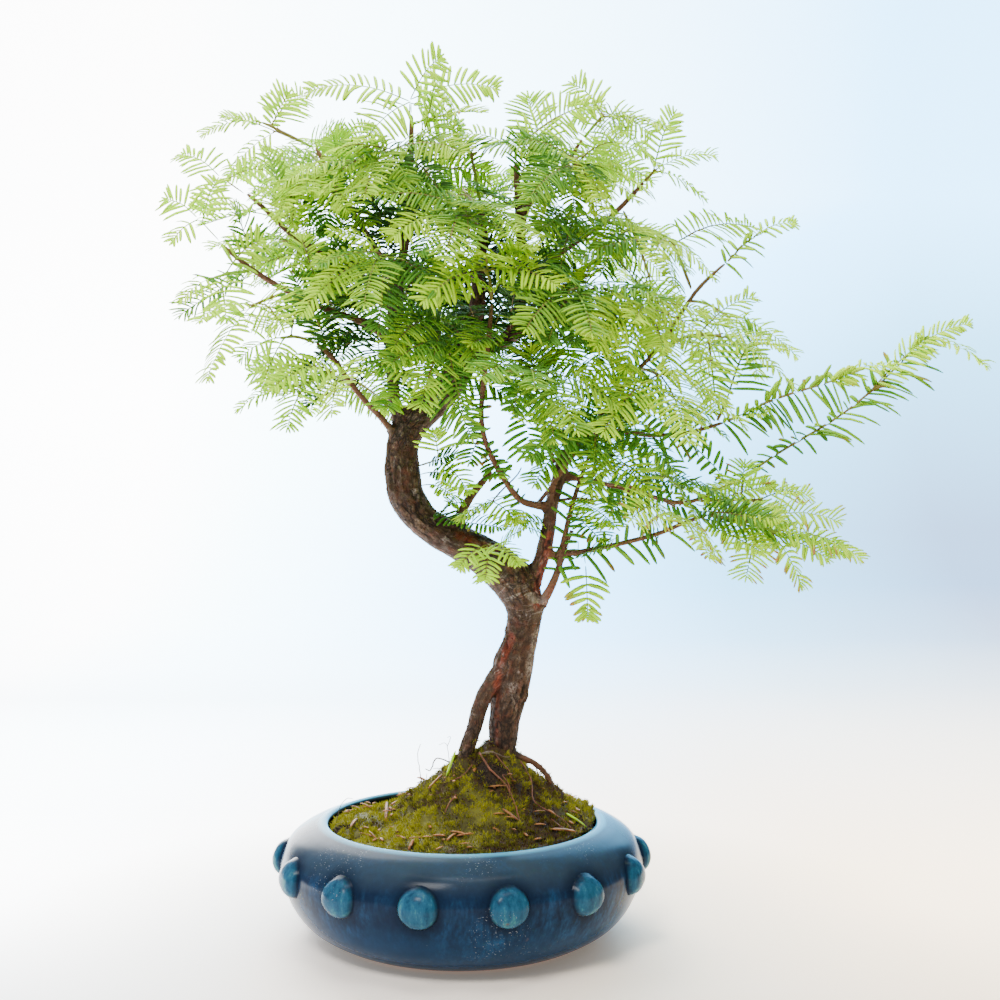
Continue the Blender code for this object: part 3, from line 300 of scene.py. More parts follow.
WIRES = (
    (0.34, 0.18, ((-23, 2, -1), (-25, 0, 6), (-26, -1, 14), (-27, -1, 22), (-25, -1, 27))),
    (0.55, 0.3, ((-6, -2, 0), (-10, -3, 7), (-16, -3, 13), (-19, -3, 9), (-22, -3, 12))),
    (0.22, 0.14, ((-8, -2, 4), (-9, -3, 14), (-11, -3, 18), (-14, -4, 20))),
    (0.22, 0.14, ((-9, -3, 14), (-7, -5, 17), (-9, -6, 21))),
    (0.24, 0.16, ((-76, -2, -1), (-73, -3, 9), (-69, -3, 12), (-65, -3, 10))),
    (0.4, 0.3, ((9, -8, 2), (17, -11, 4.5), (24, -10, 4), (28, -9, 4.5))),
    (0.35, 0.2, ((44, 1, 5), (47, -1, 0.5), (49, -2, -2))),
    (0.3, 0.2, ((52, -2, 8), (54, -4, 3), (57, -6, -1))),
    (0.3, 0.2, ((-24, -2, -1), (-22, -3, 5), (-21, -3, 8))),
)
# The fallen needles that are listed one by one, from end to end as x, y and height above the ground, in mm
FALLEN = {
    "green": (((-9, -13, 2), (-4, -6, 5)), ((73, -24, 3), (61, -27, 3.5))),
    "dead": (
        ((-44, -22, 1.2), (-46, 6, 2)), ((51, -46, 1.4), (66, -40, 2.4)),
        ((-15, -54, 1.5), (-8, -56, 2)), ((24, -40, 2), (33, -45, 1.6)),
        ((-58, -32, 1.5), (-50, -42, 2)), ((-62, -12, 2), (-64, -26, 3)),
        ((-36, -47, 1), (-30, -56, 1.5)), ((36, -52, 1), (38, -57, 2)),
        ((-20, -12, 2), (-12, -8, 3)), ((16, -26, 1.8), (26, -27, 2.8)),
    ),
}
# Strewn needles of each kind and out to where, strewn grains, and how many times fewer leaves the bark gets
STREWN = {"green": 0, "dead": 120}
STREWN_RADIUS = 0.074
GRIT_COUNT = 900
BARK_MOSS_SHARE = 12

# A needle of unit length: where its rings stand, its width along it, the scale of its flat side, and the
# share of the light that passes through it
NEEDLE_RINGS = ((0.0, 0.0), (0.25, 0.18), (0.5, 0.52), (0.75, 0.87), (1.0, 1.0))
NEEDLE_TAPER = ((0.0, 0.4), (0.18, 0.92), (0.52, 1.0), (0.87, 0.86), (1.0, 0.3))
FLAT_SIDE = -1.155
LIGHT_THROUGH = 0.38

# Looks that have no setting of their own
WHITE = (1.0, 1.0, 1.0)
SCUFF = (0.3, 0.33, 0.36)

# The stage: the backdrop's outline as y and z, and each light's name, place, aim, size, power and colour,
# and whether the glaze mirrors it
BACKDROP = ((-3.0, 0.0), (1.2, 0.0), (1.5, 0.03), (1.75, 0.12), (1.92, 0.28), (2.0, 0.5), (2.0, 3.0))
LIGHTS = (
    ("key", (-0.45, -1.0, 1.45), (0.0, 0.0, 0.25), 0.45, 30.0, (1.0, 0.985, 0.96), True),
    ("top", (0.1, 0.1, 1.5), (0.0, 0.0, 0.25), 1.1, 44.0, WHITE, True),
    ("back", (-0.5, 0.9, 1.15), (0.0, 0.0, 0.4), 0.8, 22.0, WHITE, False),
)
WORLD_COLOUR = (0.86, 0.92, 1.0)
WORLD_STRENGTH = 0.22


def tint(name, default, description):
    """Return a setting for a colour."""
    return FloatVectorProperty(name=name, subtype="COLOR", default=default, description=description)


def span(name, default, description):
    """Return a setting for a length."""
    return FloatProperty(name=name, unit="LENGTH", default=default, description=description)


class NeedleSettings(bpy.types.PropertyGroup):
    """Sizes and colours of the needles."""

    spacing: span("Spacing", 0.0031, "From needle to needle")
    width: span("Width", 0.0022, "Of a needle at its widest")
    thickness: span("Thickness", 0.0006, "Of a needle along its midrib")
    curl: FloatProperty(name="Curl", default=0.32, subtype="FACTOR",
                        description="How far a needle arches, as a share of its length")
    young: tint("Young", (0.6, 0.88, 0.025), "New growth at the tips")
    grown: tint("Grown", (0.146, 0.38, 0.039), "Needles of this year")
    # Painted shade: the darkest green, given to needles deep in the crown
    shaded: tint("Shaded", (0.03, 0.105, 0.022), "Needles inside the crown")
    scorched: tint("Scorched", (0.5, 0.22, 0.1), "Dry ends of a few needles")


class WoodSettings(bpy.types.PropertyGroup):
    """Sizes and colours of the bark."""

    furrow: span("Furrow", 0.0007, "Depth of the bark's cracks")
    # The dark in the cracks and hollows is partly the bark's own colour and partly painted shade
    dark: tint("Dark", (0.01, 0.006, 0.0045), "Cracks and hollows")
    bark: tint("Bark", (0.096, 0.05, 0.027), "Most of the bark")
    worn: tint("Worn", (0.23, 0.145, 0.09), "Raised, weathered scales")
    red: tint("Red", (0.26, 0.052, 0.026), "Young inner bark")
    pale: tint("Pale", (0.45, 0.38, 0.33), "Bleached grey streaks")
    twig: tint("Twig", (0.17, 0.075, 0.036), "Woody twigs")
    shoot: tint("Shoot", (0.21, 0.15, 0.05), "Ends of the twigs")


class PotSettings(bpy.types.PropertyGroup):
    """Colours of the pot's glaze."""

    deep: tint("Deep", (0.007, 0.015, 0.036), "Darkest blue, on the belly")
    shoulder: tint("Shoulder", (0.026, 0.042, 0.064), "Greyish blue above the bosses")
    streak: tint("Streak", (0.018, 0.085, 0.2), "Lighter runs between the bosses")
    lip: tint("Lip", (0.07, 0.28, 0.42), "Edge of the rim")
    boss: tint("Boss", (0.02, 0.085, 0.15), "Turquoise bosses")
    boss_edge: tint("Boss Edge", (0.045, 0.17, 0.19), "Greener glaze low on a boss")
    clay: tint("Clay", (0.3, 0.12, 0.055), "Bare clay at the foot and in pits")


class GroundSettings(bpy.types.PropertyGroup):
    """Sizes and colours of the moss and the soil."""

    tufts: IntProperty(name="Moss Leaves", default=37000, description="How many moss leaves cover the ground")
    tuft: span("Leaf Height", 0.0023, "Of a moss leaf")
    bright: tint("Bright", (0.36, 0.34, 0.028), "Fresh moss")
    olive: tint("Olive", (0.09, 0.088, 0.008), "Older moss")
    brown: tint("Brown", (0.1, 0.042, 0.012), "Dry moss")
    soil: tint("Soil", (0.022, 0.013, 0.008), "Moist soil")
    root: tint("Root", (0.24, 0.08, 0.04), "Thin roots")
    wire: tint("Wire", (0.2, 0.15, 0.11), "Dead twigs and pale roots")
    dead: tint("Dead", (0.42, 0.16, 0.045), "Fallen dry needles")


class StageSettings(bpy.types.PropertyGroup):
    """Camera, floor and lights."""

    distance: span("Distance", 0.79, "Camera in front of the pot")
    side: span("Side", 0.0225, "Camera to the right of the pot")
    height: span("Height", 0.257, "Camera above the floor")
    lens: FloatProperty(name="Lens", default=47.4, unit="CAMERA", description="Focal length in millimetres")
    floor: tint("Floor", (0.96, 0.75, 0.53), "Pale floor")
    sky: tint("Sky", (0.09, 0.15, 0.24), "Pale blue right side of the wall")
    glow: FloatProperty(name="Glow", default=11.0, description="Light that the wall gives off")
    floor_glow: FloatProperty(name="Floor Glow", default=0.17, description="Share of it under the pot")
    back_glow: FloatProperty(name="Back Glow", default=0.5, description="Share of it on the floor behind")


def mixed(one, two, share):
    """Return a colour between two colours."""
    return tuple(a + (b - a) * share for a, b in zip(one, two))


def darkened(colour, share):
    """Return a colour taken some way to black."""
    return mixed(colour, (0.0, 0.0, 0.0), share)


def opaque(colour):
    """Return a colour, or the grey of one number, with full cover."""
    return (colour, colour, colour, 1.0) if isinstance(colour, float) else (*colour, 1.0)


def feed(socket, value):
    """Link a socket to an output, or give it a value of its own."""
    if isinstance(value, bpy.types.NodeSocket):
        socket.id_data.links.new(value, socket)
    else:
        socket.default_value = opaque(value) if socket.type == "RGBA" else value


class Nodes:
    """A node tree in the making: its nodes are fed as they are added, and laid out at the end."""

    def __init__(self, tree):
        self.tree = tree

    def add(self, kind, inputs=None, **settings):
        """Add a node, set its properties, and feed its inputs by name or number."""
        node = self.tree.nodes.new(kind)
        for key, value in settings.items():
            setattr(node, key, value)
        for key, value in (inputs or {}).items():
            feed(node.inputs[key], value)
        return node

    def maths(self, operation, *values):
        """Return the result of a Math node."""
        return self.add("ShaderNodeMath", dict(enumerate(values)), operation=operation).outputs[0]

    def times(self, product, *values):
        """Return the product of some sockets and numbers."""
        for value in values:
            product = self.maths("MULTIPLY", product, value)
        return product

    def split(self, vector):
        """Return the three parts of a vector."""
        return self.add("ShaderNodeSeparateXYZ", {"Vector": vector}).outputs

    def joined(self, x, y, z):
        """Return a vector of three parts."""
        return self.add("ShaderNodeCombineXYZ", {"X": x, "Y": y, "Z": z}).outputs["Vector"]

    def lay_out(self):
        """Set the nodes in columns, each one to the left of those that it feeds."""
        columns = dict.fromkeys(self.tree.nodes.keys(), 0)
        for _ in range(len(columns)):
            for link in self.tree.links:
                columns[link.from_node.name] = max(
                    columns[link.from_node.name], columns[link.to_node.name] + 1)
        rows = collections.Counter()
        for name, column in columns.items():
            self.tree.nodes[name].location = (-220 * column, -180 * rows[column])
            rows[column] += 1


class Paint(Nodes):
    """A material in the making, laid out by the places on the object."""

    def __init__(self, name):
        self.material = bpy.data.materials.new(name)
        self.material.use_nodes = True
        super().__init__(self.material.node_tree)
        self.shader = self.tree.nodes["Principled BSDF"]
        self.places = self.add("ShaderNodeTexCoord").outputs["Object"]

    def attribute(self, name, output="Fac"):
        """Return an attribute of the mesh."""
        return self.add("ShaderNodeAttribute", attribute_name=name).outputs[output]

    def stretched(self, vector, scale):
        """Return a vector that is scaled along each axis."""
        return self.add("ShaderNodeMapping", {"Vector": vector, "Scale": scale}).outputs["Vector"]

    def noise(self, scale, detail=4.0, roughness=0.5, at=None, output="Fac"):
        """Return a noise over the places on the object or over another vector."""
        return self.add("ShaderNodeTexNoise", {
            "Vector": self.places if at is None else at, "Scale": scale, "Detail": detail,
            "Roughness": roughness}).outputs[output]

    def cells(self, scale, at, feature="F1"):
        """Return the distance in a pattern of cells."""
        inputs = {"Vector": at, "Scale": scale}
        return self.add("ShaderNodeTexVoronoi", inputs, feature=feature).outputs["Distance"]

    def ramp(self, factor, *stops):
        """Return a ramp over a factor, through stops of a position with a colour or a grey."""
        node = self.add("ShaderNodeValToRGB", {"Fac": factor})
        first, last = node.color_ramp.elements
        first.position, first.color = stops[0][0], opaque(stops[0][1])
        last.position, last.color = stops[-1][0], opaque(stops[-1][1])
        for position, colour in stops[1:-1]:
            node.color_ramp.elements.new(position).color = opaque(colour)
        return node.outputs["Color"]

    def blend(self, factor, under, over):
        """Return a mix of two colours."""
        inputs = {"Factor": factor, "A": under, "B": over}
        return self.add("ShaderNodeMix", inputs, data_type="RGBA").outputs["Result"]

    def range_of(self, value, **limits):
        """Return a value mapped from one range to another."""
        inputs = {key.replace("_", " ").title(): limit for key, limit in limits.items()}
        return self.add("ShaderNodeMapRange", {"Value": value, **inputs}).outputs["Result"]

    def bump(self, height, strength, distance):
        """Raise the surface by a height."""
        inputs = {"Strength": strength, "Distance": distance, "Height": height}
        feed(self.shader.inputs["Normal"], self.add("ShaderNodeBump", inputs).outputs["Normal"])

    def finish(self, colour, roughness, specular=0.5):
        """Give the shader its colour and gloss, lay the nodes out and return the material."""
        feed(self.shader.inputs["Base Color"], colour)
        feed(self.shader.inputs["Roughness"], roughness)
        self.shader.inputs["Specular IOR Level"].default_value = specular
        self.lay_out()
        return self.material


class Growth(Nodes):
    """A Geometry Nodes tree in the making, with its named inputs."""

    KINDS = {float: "NodeSocketFloat", int: "NodeSocketInt", bpy.types.Material: "NodeSocketMaterial"}

    def __init__(self, name, **inputs):
        super().__init__(bpy.data.node_groups.new(name, "GeometryNodeTree"))
        new_socket = self.tree.interface.new_socket
        for way in ("INPUT", "OUTPUT"):
            new_socket(name="Geometry", in_out=way, socket_type="NodeSocketGeometry")
        for key, value in inputs.items():
            socket = new_socket(name=key, in_out="INPUT", socket_type=self.KINDS[type(value)])
            socket.default_value = value
        self.given = self.add("NodeGroupInput").outputs

    def field(self, name, kind="FLOAT_VECTOR"):
        """Return a named attribute."""
        inputs = {"Name": name}
        return self.add("GeometryNodeInputNamedAttribute", inputs, data_type=kind).outputs["Attribute"]

    def curve(self, value, *points):
        """Return a value led through a curve of (place, height) points."""
        node = self.add("ShaderNodeFloatCurve", {"Value": value})
        curve = node.mapping.curves[0]
        curve.points[0].location, curve.points[1].location = points[0], points[-1]
        for place, height in points[1:-1]:
            curve.points.new(place, height)
        for point in curve.points:
            point.handle_type = "VECTOR"
        node.mapping.update()
        return node.outputs["Value"]

    def keep(self, geometry, name, value):
        """Keep a value under a name on each point of a geometry."""
        inputs = {"Geometry": geometry, "Name": name, "Value": value}
        return self.add("GeometryNodeStoreNamedAttribute", inputs, data_type="FLOAT",
                        domain="POINT").outputs["Geometry"]

    def pointed(self, aim, axis, rotation=None, pivot="AUTO"):
        """Return a rotation that points an axis some way, starting from another one or from none."""
        inputs = {"Vector": aim} if rotation is None else {"Vector": aim, "Rotation": rotation}
        return self.add("FunctionNodeAlignRotationToVector", inputs, axis=axis,
                        pivot_axis=pivot).outputs["Rotation"]

    def set_out(self, shape, rotation, scale):
        """Set a shape on every given point and make the copies real."""
        inputs = {"Points": self.given["Geometry"], "Instance": shape, "Rotation": rotation, "Scale": scale}
        copies = self.add("GeometryNodeInstanceOnPoints", inputs).outputs["Instances"]
        return self.add("GeometryNodeRealizeInstances", {"Geometry": copies}).outputs["Geometry"]

    def grow(self, geometry, piece):
        """End the tree with a geometry and its material, and keep what grows on a piece as its mesh."""
        inputs = {"Geometry": geometry, "Material": self.given["Material"]}
        dressed = self.add("GeometryNodeSetMaterial", inputs).outputs["Geometry"]
        self.add("NodeGroupOutput", {"Geometry": dressed})
        self.lay_out()
        piece.modifiers.new(self.tree.name, "NODES").node_group = self.tree
        bake_modifiers(piece)
        return piece


def in_scene(name, data):
    """Return a new object of some data in the scene."""
    item = bpy.data.objects.new(name, data)
    bpy.context.scene.collection.objects.link(item)
    return item


def piece_of(name, mesh, *materials):
    """Return a new object of a mesh, which may be a bmesh that is used up."""
    if isinstance(mesh, bmesh.types.BMesh):
        made = bpy.data.meshes.new(name)
        mesh.to_mesh(made)
        mesh.free()
        mesh = made
    for material in materials:
        mesh.materials.append(material)
    return in_scene(name, mesh)


def mesh_of(name, vertices, faces=()):
    """Return a new mesh of vertices and faces."""
    mesh = bpy.data.meshes.new(name)
    mesh.from_pydata([tuple(vertex) for vertex in vertices], [], faces)
    return mesh


def bake_modifiers(piece):
    """Keep the mesh that a piece's modifiers give, and remove them."""
    graph = bpy.context.evaluated_depsgraph_get()
    mesh = bpy.data.meshes.new_from_object(piece.evaluated_get(graph))
    piece.modifiers.clear()
    old = piece.data
    piece.data = mesh
    bpy.data.meshes.remove(old)
    mesh.name = piece.name


def round_off(piece, levels):
    """Round a piece by subdividing it."""
    rounded = piece.modifiers.new("round", "SUBSURF")
    rounded.levels = rounded.render_levels = levels
    bake_modifiers(piece)
    return piece


def remove_piece(piece):
    """Remove a helping object with its mesh."""
    mesh = piece.data
    bpy.data.objects.remove(piece)
    bpy.data.meshes.remove(mesh)


def finish_piece(piece, slot, *nodes):
    """Let a piece ride on the tree and stand for the nodes it replaces; the slot is not used."""
    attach(piece, "root")
    if nodes:
        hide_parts(*nodes)


def merged_copy(name):
    """Return a copy of a node's mesh with its loose triangles merged."""
    mesh = bmesh.new()
    mesh.from_mesh(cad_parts[name].data)
    bmesh.ops.remove_doubles(mesh, verts=mesh.verts, dist=MERGE)
    mesh.verts.index_update()
    return mesh


def surface_of(mesh):
    """Return the surface of a bmesh that is used up, to find places on it."""
    surface = BVHTree.FromBMesh(mesh)
    mesh.free()
    return surface


@functools.cache
def node_surface(name):
    """Return the surface of a node, made once."""
    return surface_of(merged_copy(name))


def store(mesh, name, values):
    """Keep one number or one vector for each vertex of a mesh."""
    values = np.asarray(values, np.float32)
    kind, key = ("FLOAT", "value") if values.ndim == 1 else ("FLOAT_VECTOR", "vector")
    mesh.attributes.new(name, kind, "POINT").data.foreach_set(key, values.ravel())


def vertex_array(mesh, key="co"):
    """Return the places or the normals of a mesh's vertices as an array."""
    values = np.empty(len(mesh.vertices) * 3)
    mesh.vertices.foreach_get(key, values)
    return values.reshape(-1, 3)


def smooth_line(points, steps=5):
    """Return a smooth line through 3D points."""
    points = [Vector(point) for point in points]
    line = []
    for index in range(len(points) - 1):
        before, start = points[max(index - 1, 0)], points[index]
        end, after = points[index + 1], points[min(index + 2, len(points) - 1)]
        for step in range(steps):
            t = step / steps
            inner = (end - before) * t + (before * 2.0 - start * 5.0 + end * 4.0 - after) * t ** 2
            inner += (start * 3.0 - before - end * 3.0 + after) * t ** 3
            line.append(start + inner * 0.5)
    return line + [points[-1]]


def middle(places):
    """Return the middle of some places."""
    return sum(places, Vector()) / len(places)


def circle(radius, count):
    """Return places round a circle, as x and y."""
    angles = [2.0 * math.pi * side / count for side in range(count)]
    return [(radius * math.cos(angle), radius * math.sin(angle)) for angle in angles]


def skin(rings):
    """Return the faces between rings of corners, where a ring may have shrunk to one corner."""
    faces = []
    for low, high in zip(rings, rings[1:]):
        count = max(len(low), len(high))
        for side in range(count):
            after = (side + 1) % count
            faces.append(tuple(dict.fromkeys((
                low[side % len(low)], low[after % len(low)],
                high[after % len(high)], high[side % len(high)]))))
    return faces


def line_in_metres(points, steps=5):
    """Return a smooth line in metres through points in millimetres."""
    return [point / 1000.0 for point in smooth_line(points, steps)]


class Leaflet:
    """One leaflet of the model: where its foot starts and ends on the rib, and where it points."""

    def __init__(self, start, end, reach, up, keys=()):
        self.start, self.end, self.reach, self.up = start, end, reach, up
        self.keys = keys

    @classmethod
    def from_mesh(cls, tip, stations, ridges):
        """Read a leaflet from its tip and the two short edges at the ends of its foot."""
        keys = [frozenset(vertex.index for vertex in edge.verts) for edge in stations]
        middles = [(edge.verts[0].co + edge.verts[1].co) / 2.0 for edge in stations]
        reach = tip.co - (middles[0] + middles[1]) / 2.0
        if reach.dot(middles[1] - middles[0]) < 0.0:
            keys.reverse()
            middles.reverse()
        up = (middles[1] - middles[0]).cross(reach).normalized()
        corners = [vertex for edge in stations for vertex in edge.verts]
        low = [vertex.co for vertex in corners if vertex.index not in ridges]
        high = [vertex.co for vertex in corners if vertex.index in ridges]
        if low and high and up.dot(high[0] - low[0]) < 0.0:
            up.negate()
        return cls(middles[0], middles[1], reach, up, keys)

    def moved(self, turn, pivot, scale):
        """Return a copy that is turned and scaled about a pivot."""
        start = pivot + turn @ (self.start - pivot) * scale
        end = pivot + turn @ (self.end - pivot) * scale
        return Leaflet(start, end, turn @ self.reach * (0.25 + 0.75 * scale), turn @ self.up)


def is_tip(vertex):
    """Tell whether a vertex is the point of a leaflet: three or four edges, all of them long."""
    lengths = [edge.calc_length() for edge in vertex.link_edges]
    return len(lengths) in (3, 4) and min(lengths) > SHORTEST_LEAFLET


def foot_edges(tip):
    """Return the edges round the foot of a leaflet."""
    return [edge for face in tip.link_faces for edge in face.edges if tip not in edge.verts]


def leaflets_of(mesh):
    """Return the side leaflets of a spray's mesh and the tips that end its fronds."""
    tips = [vertex for vertex in mesh.verts if is_tip(vertex)]
    touched = collections.Counter(
        edge.other_vert(tip).index for tip in tips if len(tip.link_edges) == 4 for edge in tip.link_edges)
    leaflets, ends = [], []
    for tip in tips:
        if len(tip.link_edges) == 3:
            ends.append(tip)
            continue
        stations = sorted(foot_edges(tip), key=lambda edge: edge.calc_length())[:2]
        ridges = {max(edge.verts, key=lambda vertex: touched[vertex.index]).index for edge in stations}
        leaflets.append(Leaflet.from_mesh(tip, stations, ridges))
    return leaflets, ends, tips


def sides_of_frond(end, leaflets, used):
    """Return a frond's unused leaflets side by side, each side followed back from the end, base first."""
    by_end = {leaflet.keys[1]: leaflet for leaflet in leaflets}
    around = {edge.other_vert(end).index for edge in end.link_edges}
    sides = []
    for last in leaflets:
        if last.keys[1] <= around and last not in used:
            side, leaflet = [], last
            while leaflet and leaflet not in used:
                side.insert(0, leaflet)
                leaflet = by_end.get(leaflet.keys[0])
            used.update(side)
            sides.append(side)
    return sides


def spread(knots, values, places):
    """Interpolate values between knots, and carry the last slope on a little past each end."""
    knots, values = np.asarray(knots, float), np.asarray(values, float)
    if len(knots) == 1:
        return np.repeat(values[:1], len(places), axis=0)
    index = np.clip(np.searchsorted(knots, places) - 1, 0, len(knots) - 2)
    share = (places - knots[index]) / (knots[index + 1] - knots[index])
    share = np.clip(share, -0.5, 1.5)
    return values[index] + (values[index + 1] - values[index]) * share[:, None]


class NeedleCloud:
    """The places of many needles, each with where it points and how it looks."""

    def __init__(self):
        self.rows = []

    def add(self, place, reach, up, curl, youth, scorch, wide=1.0):
        """Add a needle that starts at a place and ends at the end of its reach."""
        fall = -(up * 0.5 + UP * 0.5) * curl * reach.length
        aim = reach - fall
        self.rows.append((tuple(place), tuple(aim), tuple(up), tuple(fall), aim.length, wide, youth, scorch))

    def to_mesh(self, name):
        """Return a mesh of points that carries every needle's data."""
        places, *fields = zip(*self.rows)
        mesh = mesh_of(name, places)
        for key, values in zip(("aim", "up", "bend", "long", "wide", "youth", "scorch"), fields):
            store(mesh, key, values)
        return mesh


Look = collections.namedtuple("Look", "curl spacing wide youth burnt")


def look_at(settings, spray, place, rng):
    """Return how a frond's needles look: bright and fine outside the crown, dark and coarse inside, the dark
    inside being painted shade and the brightness high up and at the left painted light.
    """
    away = place - CROWN_MIDDLE
    outward = math.sqrt(sum((away[i] / CROWN_RADII[i]) ** 2 for i in range(3)))
    # Youth rises from the crown's middle outwards, so needles deep inside are painted darker, as painted
    # shade
    youth = 0.06 + 0.76 * min(max((outward - 0.3) / 0.65, 0.0), 1.0)
    coarse = rng.uniform(0.0, 0.7)
    if spray in MATURE_SPRAYS:
        youth, coarse = 0.38, rng.uniform(0.5, 1.0)
    youth, coarse = SPECIAL_SPRAYS.get(spray, (youth, coarse))
    # Needles high in the crown and at its left are painted lighter, as painted light
    if place.z > 0.43 or place.x < -0.06:
        youth = max(youth, rng.uniform(0.38, 0.95))
    burnt = 0.3 if spray in SCORCHED_SPRAYS else 0.0
    return Look(settings.curl, settings.spacing * (0.85 + 0.35 * coarse), 0.68 + 0.36 * coarse,
                youth + rng.uniform(-0.12, 0.2), burnt)


def needle_angle(angles, share, spread, rng):
    """Return the next needle's angle from its rib, which closes towards the tip."""
    return math.radians(angles[0] - angles[1] * share ** 2 + rng.gauss(0.0, spread))


def next_scorch(look, rng):
    """Return how scorched the next needle is."""
    return rng.uniform(0.4, 1.0) if rng.random() < look.burnt else 0.0


def needles_on_side(cloud, side, look, rng):
    """Set needles along one side of a frond, between the leaflets of the model."""
    path = np.array([tuple(point) for leaflet in side for point in (leaflet.start, leaflet.end)])
    steps = np.linalg.norm(np.diff(path, axis=0), axis=1)
    far = np.concatenate([[0.0], np.cumsum(steps)])
    keep = np.concatenate([[True], steps > 1e-6])
    path, far = path[keep], far[keep]
    total = far[-1]
    knots = [sum(far[np.argmin(np.linalg.norm(path - np.array(point), axis=1))]
                 for point in (leaflet.start, leaflet.end)) / 2.0 for leaflet in side]
    count = max(1, round(total / look.spacing))
    shares = (np.arange(count) + 0.5) / count
    places = total * (shares + 0.08 * np.sin(math.pi * shares))
    points, ahead, behind = (
        np.column_stack([np.interp(places + shift, far, path[:, axis]) for axis in range(3)])
        for shift in (0.0, 0.002, -0.002))
    reaches = spread(knots, [tuple(leaflet.reach) for leaflet in side], places)
    ups = spread(knots, [tuple(leaflet.up) for leaflet in side], places)
    for index in range(count):
        up = Vector(ups[index]).normalized()
        heading = Vector(ahead[index] - behind[index]).normalized()
        reach = Vector(reaches[index])
        across = (reach - heading * reach.dot(heading)).normalized()
        angle = needle_angle(LEAFLET_ANGLES, shares[index], 5.0, rng)
        aim = heading * math.cos(angle) + across * math.sin(angle) + up * rng.gauss(0.0, 0.07)
        age = look.youth + 0.2 * shares[index] ** 2 + rng.uniform(-0.04, 0.04)
        scorch = next_scorch(look, rng)
        leaf = aim.normalized() * reach.length * rng.uniform(0.88, 1.0)
        cloud.add(Vector(points[index]) - aim * 0.0003, leaf, up, look.curl * rng.uniform(0.5, 1.5), age,
                  scorch, look.wide)


def foot_of(end):
    """Return the middle of the rib's end, where the last leaflet of a frond stands."""
    return middle([edge.other_vert(end).co for edge in end.link_edges])


def frond_profile(share):
    """Return the length of the needles along a frond, as a share of the longest ones."""
    return min(1.0, 0.55 + 1.7 * share) * min(1.0, 0.22 + 2.1 * (1.0 - share))


def grow_frond(cloud, start, reach, up, leaf, look, rng, begin=0.0, bare=0.0):
    """Grow a frond of paired needles on an arching rib, and return the rib's line."""
    heading = reach.normalized()
    count = max(4, round(reach.length / look.spacing * 1.12))
    first = round(count * bare)
    steps = [1.0 - 0.55 * (begin + (1.0 - begin) * index / count) ** 2 for index in range(count)]
    steps = [step * reach.length / sum(steps) for step in steps]
    line, place = [start], start
    drift = Vector((rng.gauss(0.0, 1.0), rng.gauss(0.0, 1.0), rng.gauss(0.0, 0.6))) * 0.12
    for index, step in enumerate(steps):
        heading = (heading + (drift - UP * 0.35) * step / 0.045).normalized()
        place = place + heading * step
        if index % 4 == 3 or index == count - 1:
            line.append(place)
        if index < first:
            continue
        share = begin + (1.0 - begin) * (index - first) / (count - first)
        top = (up - heading * up.dot(heading)).normalized()
        across = heading.cross(top)
        angle = needle_angle(FROND_ANGLES, share, 3.0, rng)
        for hand in (-1.0, 1.0):
            aim = heading * math.cos(angle) + across * hand * math.sin(angle)
            aim += top * rng.gauss(0.1, 0.1) + heading * rng.gauss(0.0, 0.06)
            age = look.youth + 0.25 * share ** 2 + rng.uniform(-0.05, 0.05)
            scorch = next_scorch(look, rng)
            cloud.add(place - heading * step * (0.25 + 0.25 * hand),
                      aim.normalized() * leaf * frond_profile(share) * rng.uniform(0.88, 1.08), top,
                      look.curl * rng.uniform(0.5, 1.6), age, scorch, look.wide * (1.0 - 0.25 * share ** 2))
    cloud.add(place, heading * leaf * 0.32, up, look.curl * 0.5, look.youth + 0.3, 0.0, look.wide * 0.7)
    return line


def needles_at_end(cloud, foot, end, sides, look, rng):
    """Carry a frond on past its last leaflet with ever shorter needles; return the rib's line."""
    reach = end - foot
    up = sum((side[-1].up for side in sides), Vector()) if sides else UP
    leaf = sum(side[-1].reach.length for side in sides) / len(sides) if sides else reach.length
    leaf = max(leaf, reach.length * 0.8) * 0.96
    return grow_frond(cloud, foot, reach * 0.82, up.normalized(), leaf, look, rng, 0.5)


def sister_frond(cloud, sides, end, turns, scale, look, rng):
    """Grow a smaller frond from the same place on the stem, and return the line of its rib."""
    foot = middle([side[0].start for side in sides])
    ahead = sum((side[0].end - side[0].start for side in sides), Vector()).normalized()
    pivot = foot - ahead * STALK
    up = sum((side[0].up for side in sides), Vector()).normalized()
    turn = Matrix.Rotation(turns[0], 3, up) @ Matrix.Rotation(turns[1], 3, ahead.cross(up).normalized())
    new_sides = [[leaflet.moved(turn, pivot, scale) for leaflet in side] for side in sides]
    for side in new_sides:
        needles_on_side(cloud, side, look, rng)
    tip = pivot + turn @ (end - pivot) * scale
    last = middle([side[-1].end for side in new_sides])
    tail = needles_at_end(cloud, last, tip, new_sides, look, rng)
    longest = max(len(side) for side in new_sides)
    rib = [middle([side[min(index, len(side) - 1)].start for side in new_sides]) for index in range(longest)]
    return [pivot, *rib, *tail]


def sisters_of(cloud, sides, end, name, look, rng):
    """Grow the smaller fronds that fill a spray between the fronds of the model."""
    turns = [rng.choice((-1.0, 1.0)) * rng.uniform(0.4, 0.8)]
    if name not in MATURE_SPRAYS and rng.random() < 0.5:
        turns.append(-math.copysign(rng.uniform(0.4, 0.9), turns[0]))
    lines = []
    for yaw in turns:
        pitch = rng.choice((-1.0, 1.0)) * rng.uniform(0.15, 0.6)
        scale = rng.uniform(0.6, 0.92)
        if end.z > HIGH_TIPS:
            pitch, scale = -abs(pitch) - 0.2, 0.7
        # Filling fronds are painted darker by a random amount, as painted shade between the model's fronds
        shaded_look = look._replace(youth=look.youth - rng.uniform(0.0, 0.25), burnt=0.0)
        lines.append(sister_frond(cloud, sides, end, (yaw, pitch), scale, shaded_look, rng))
    return lines


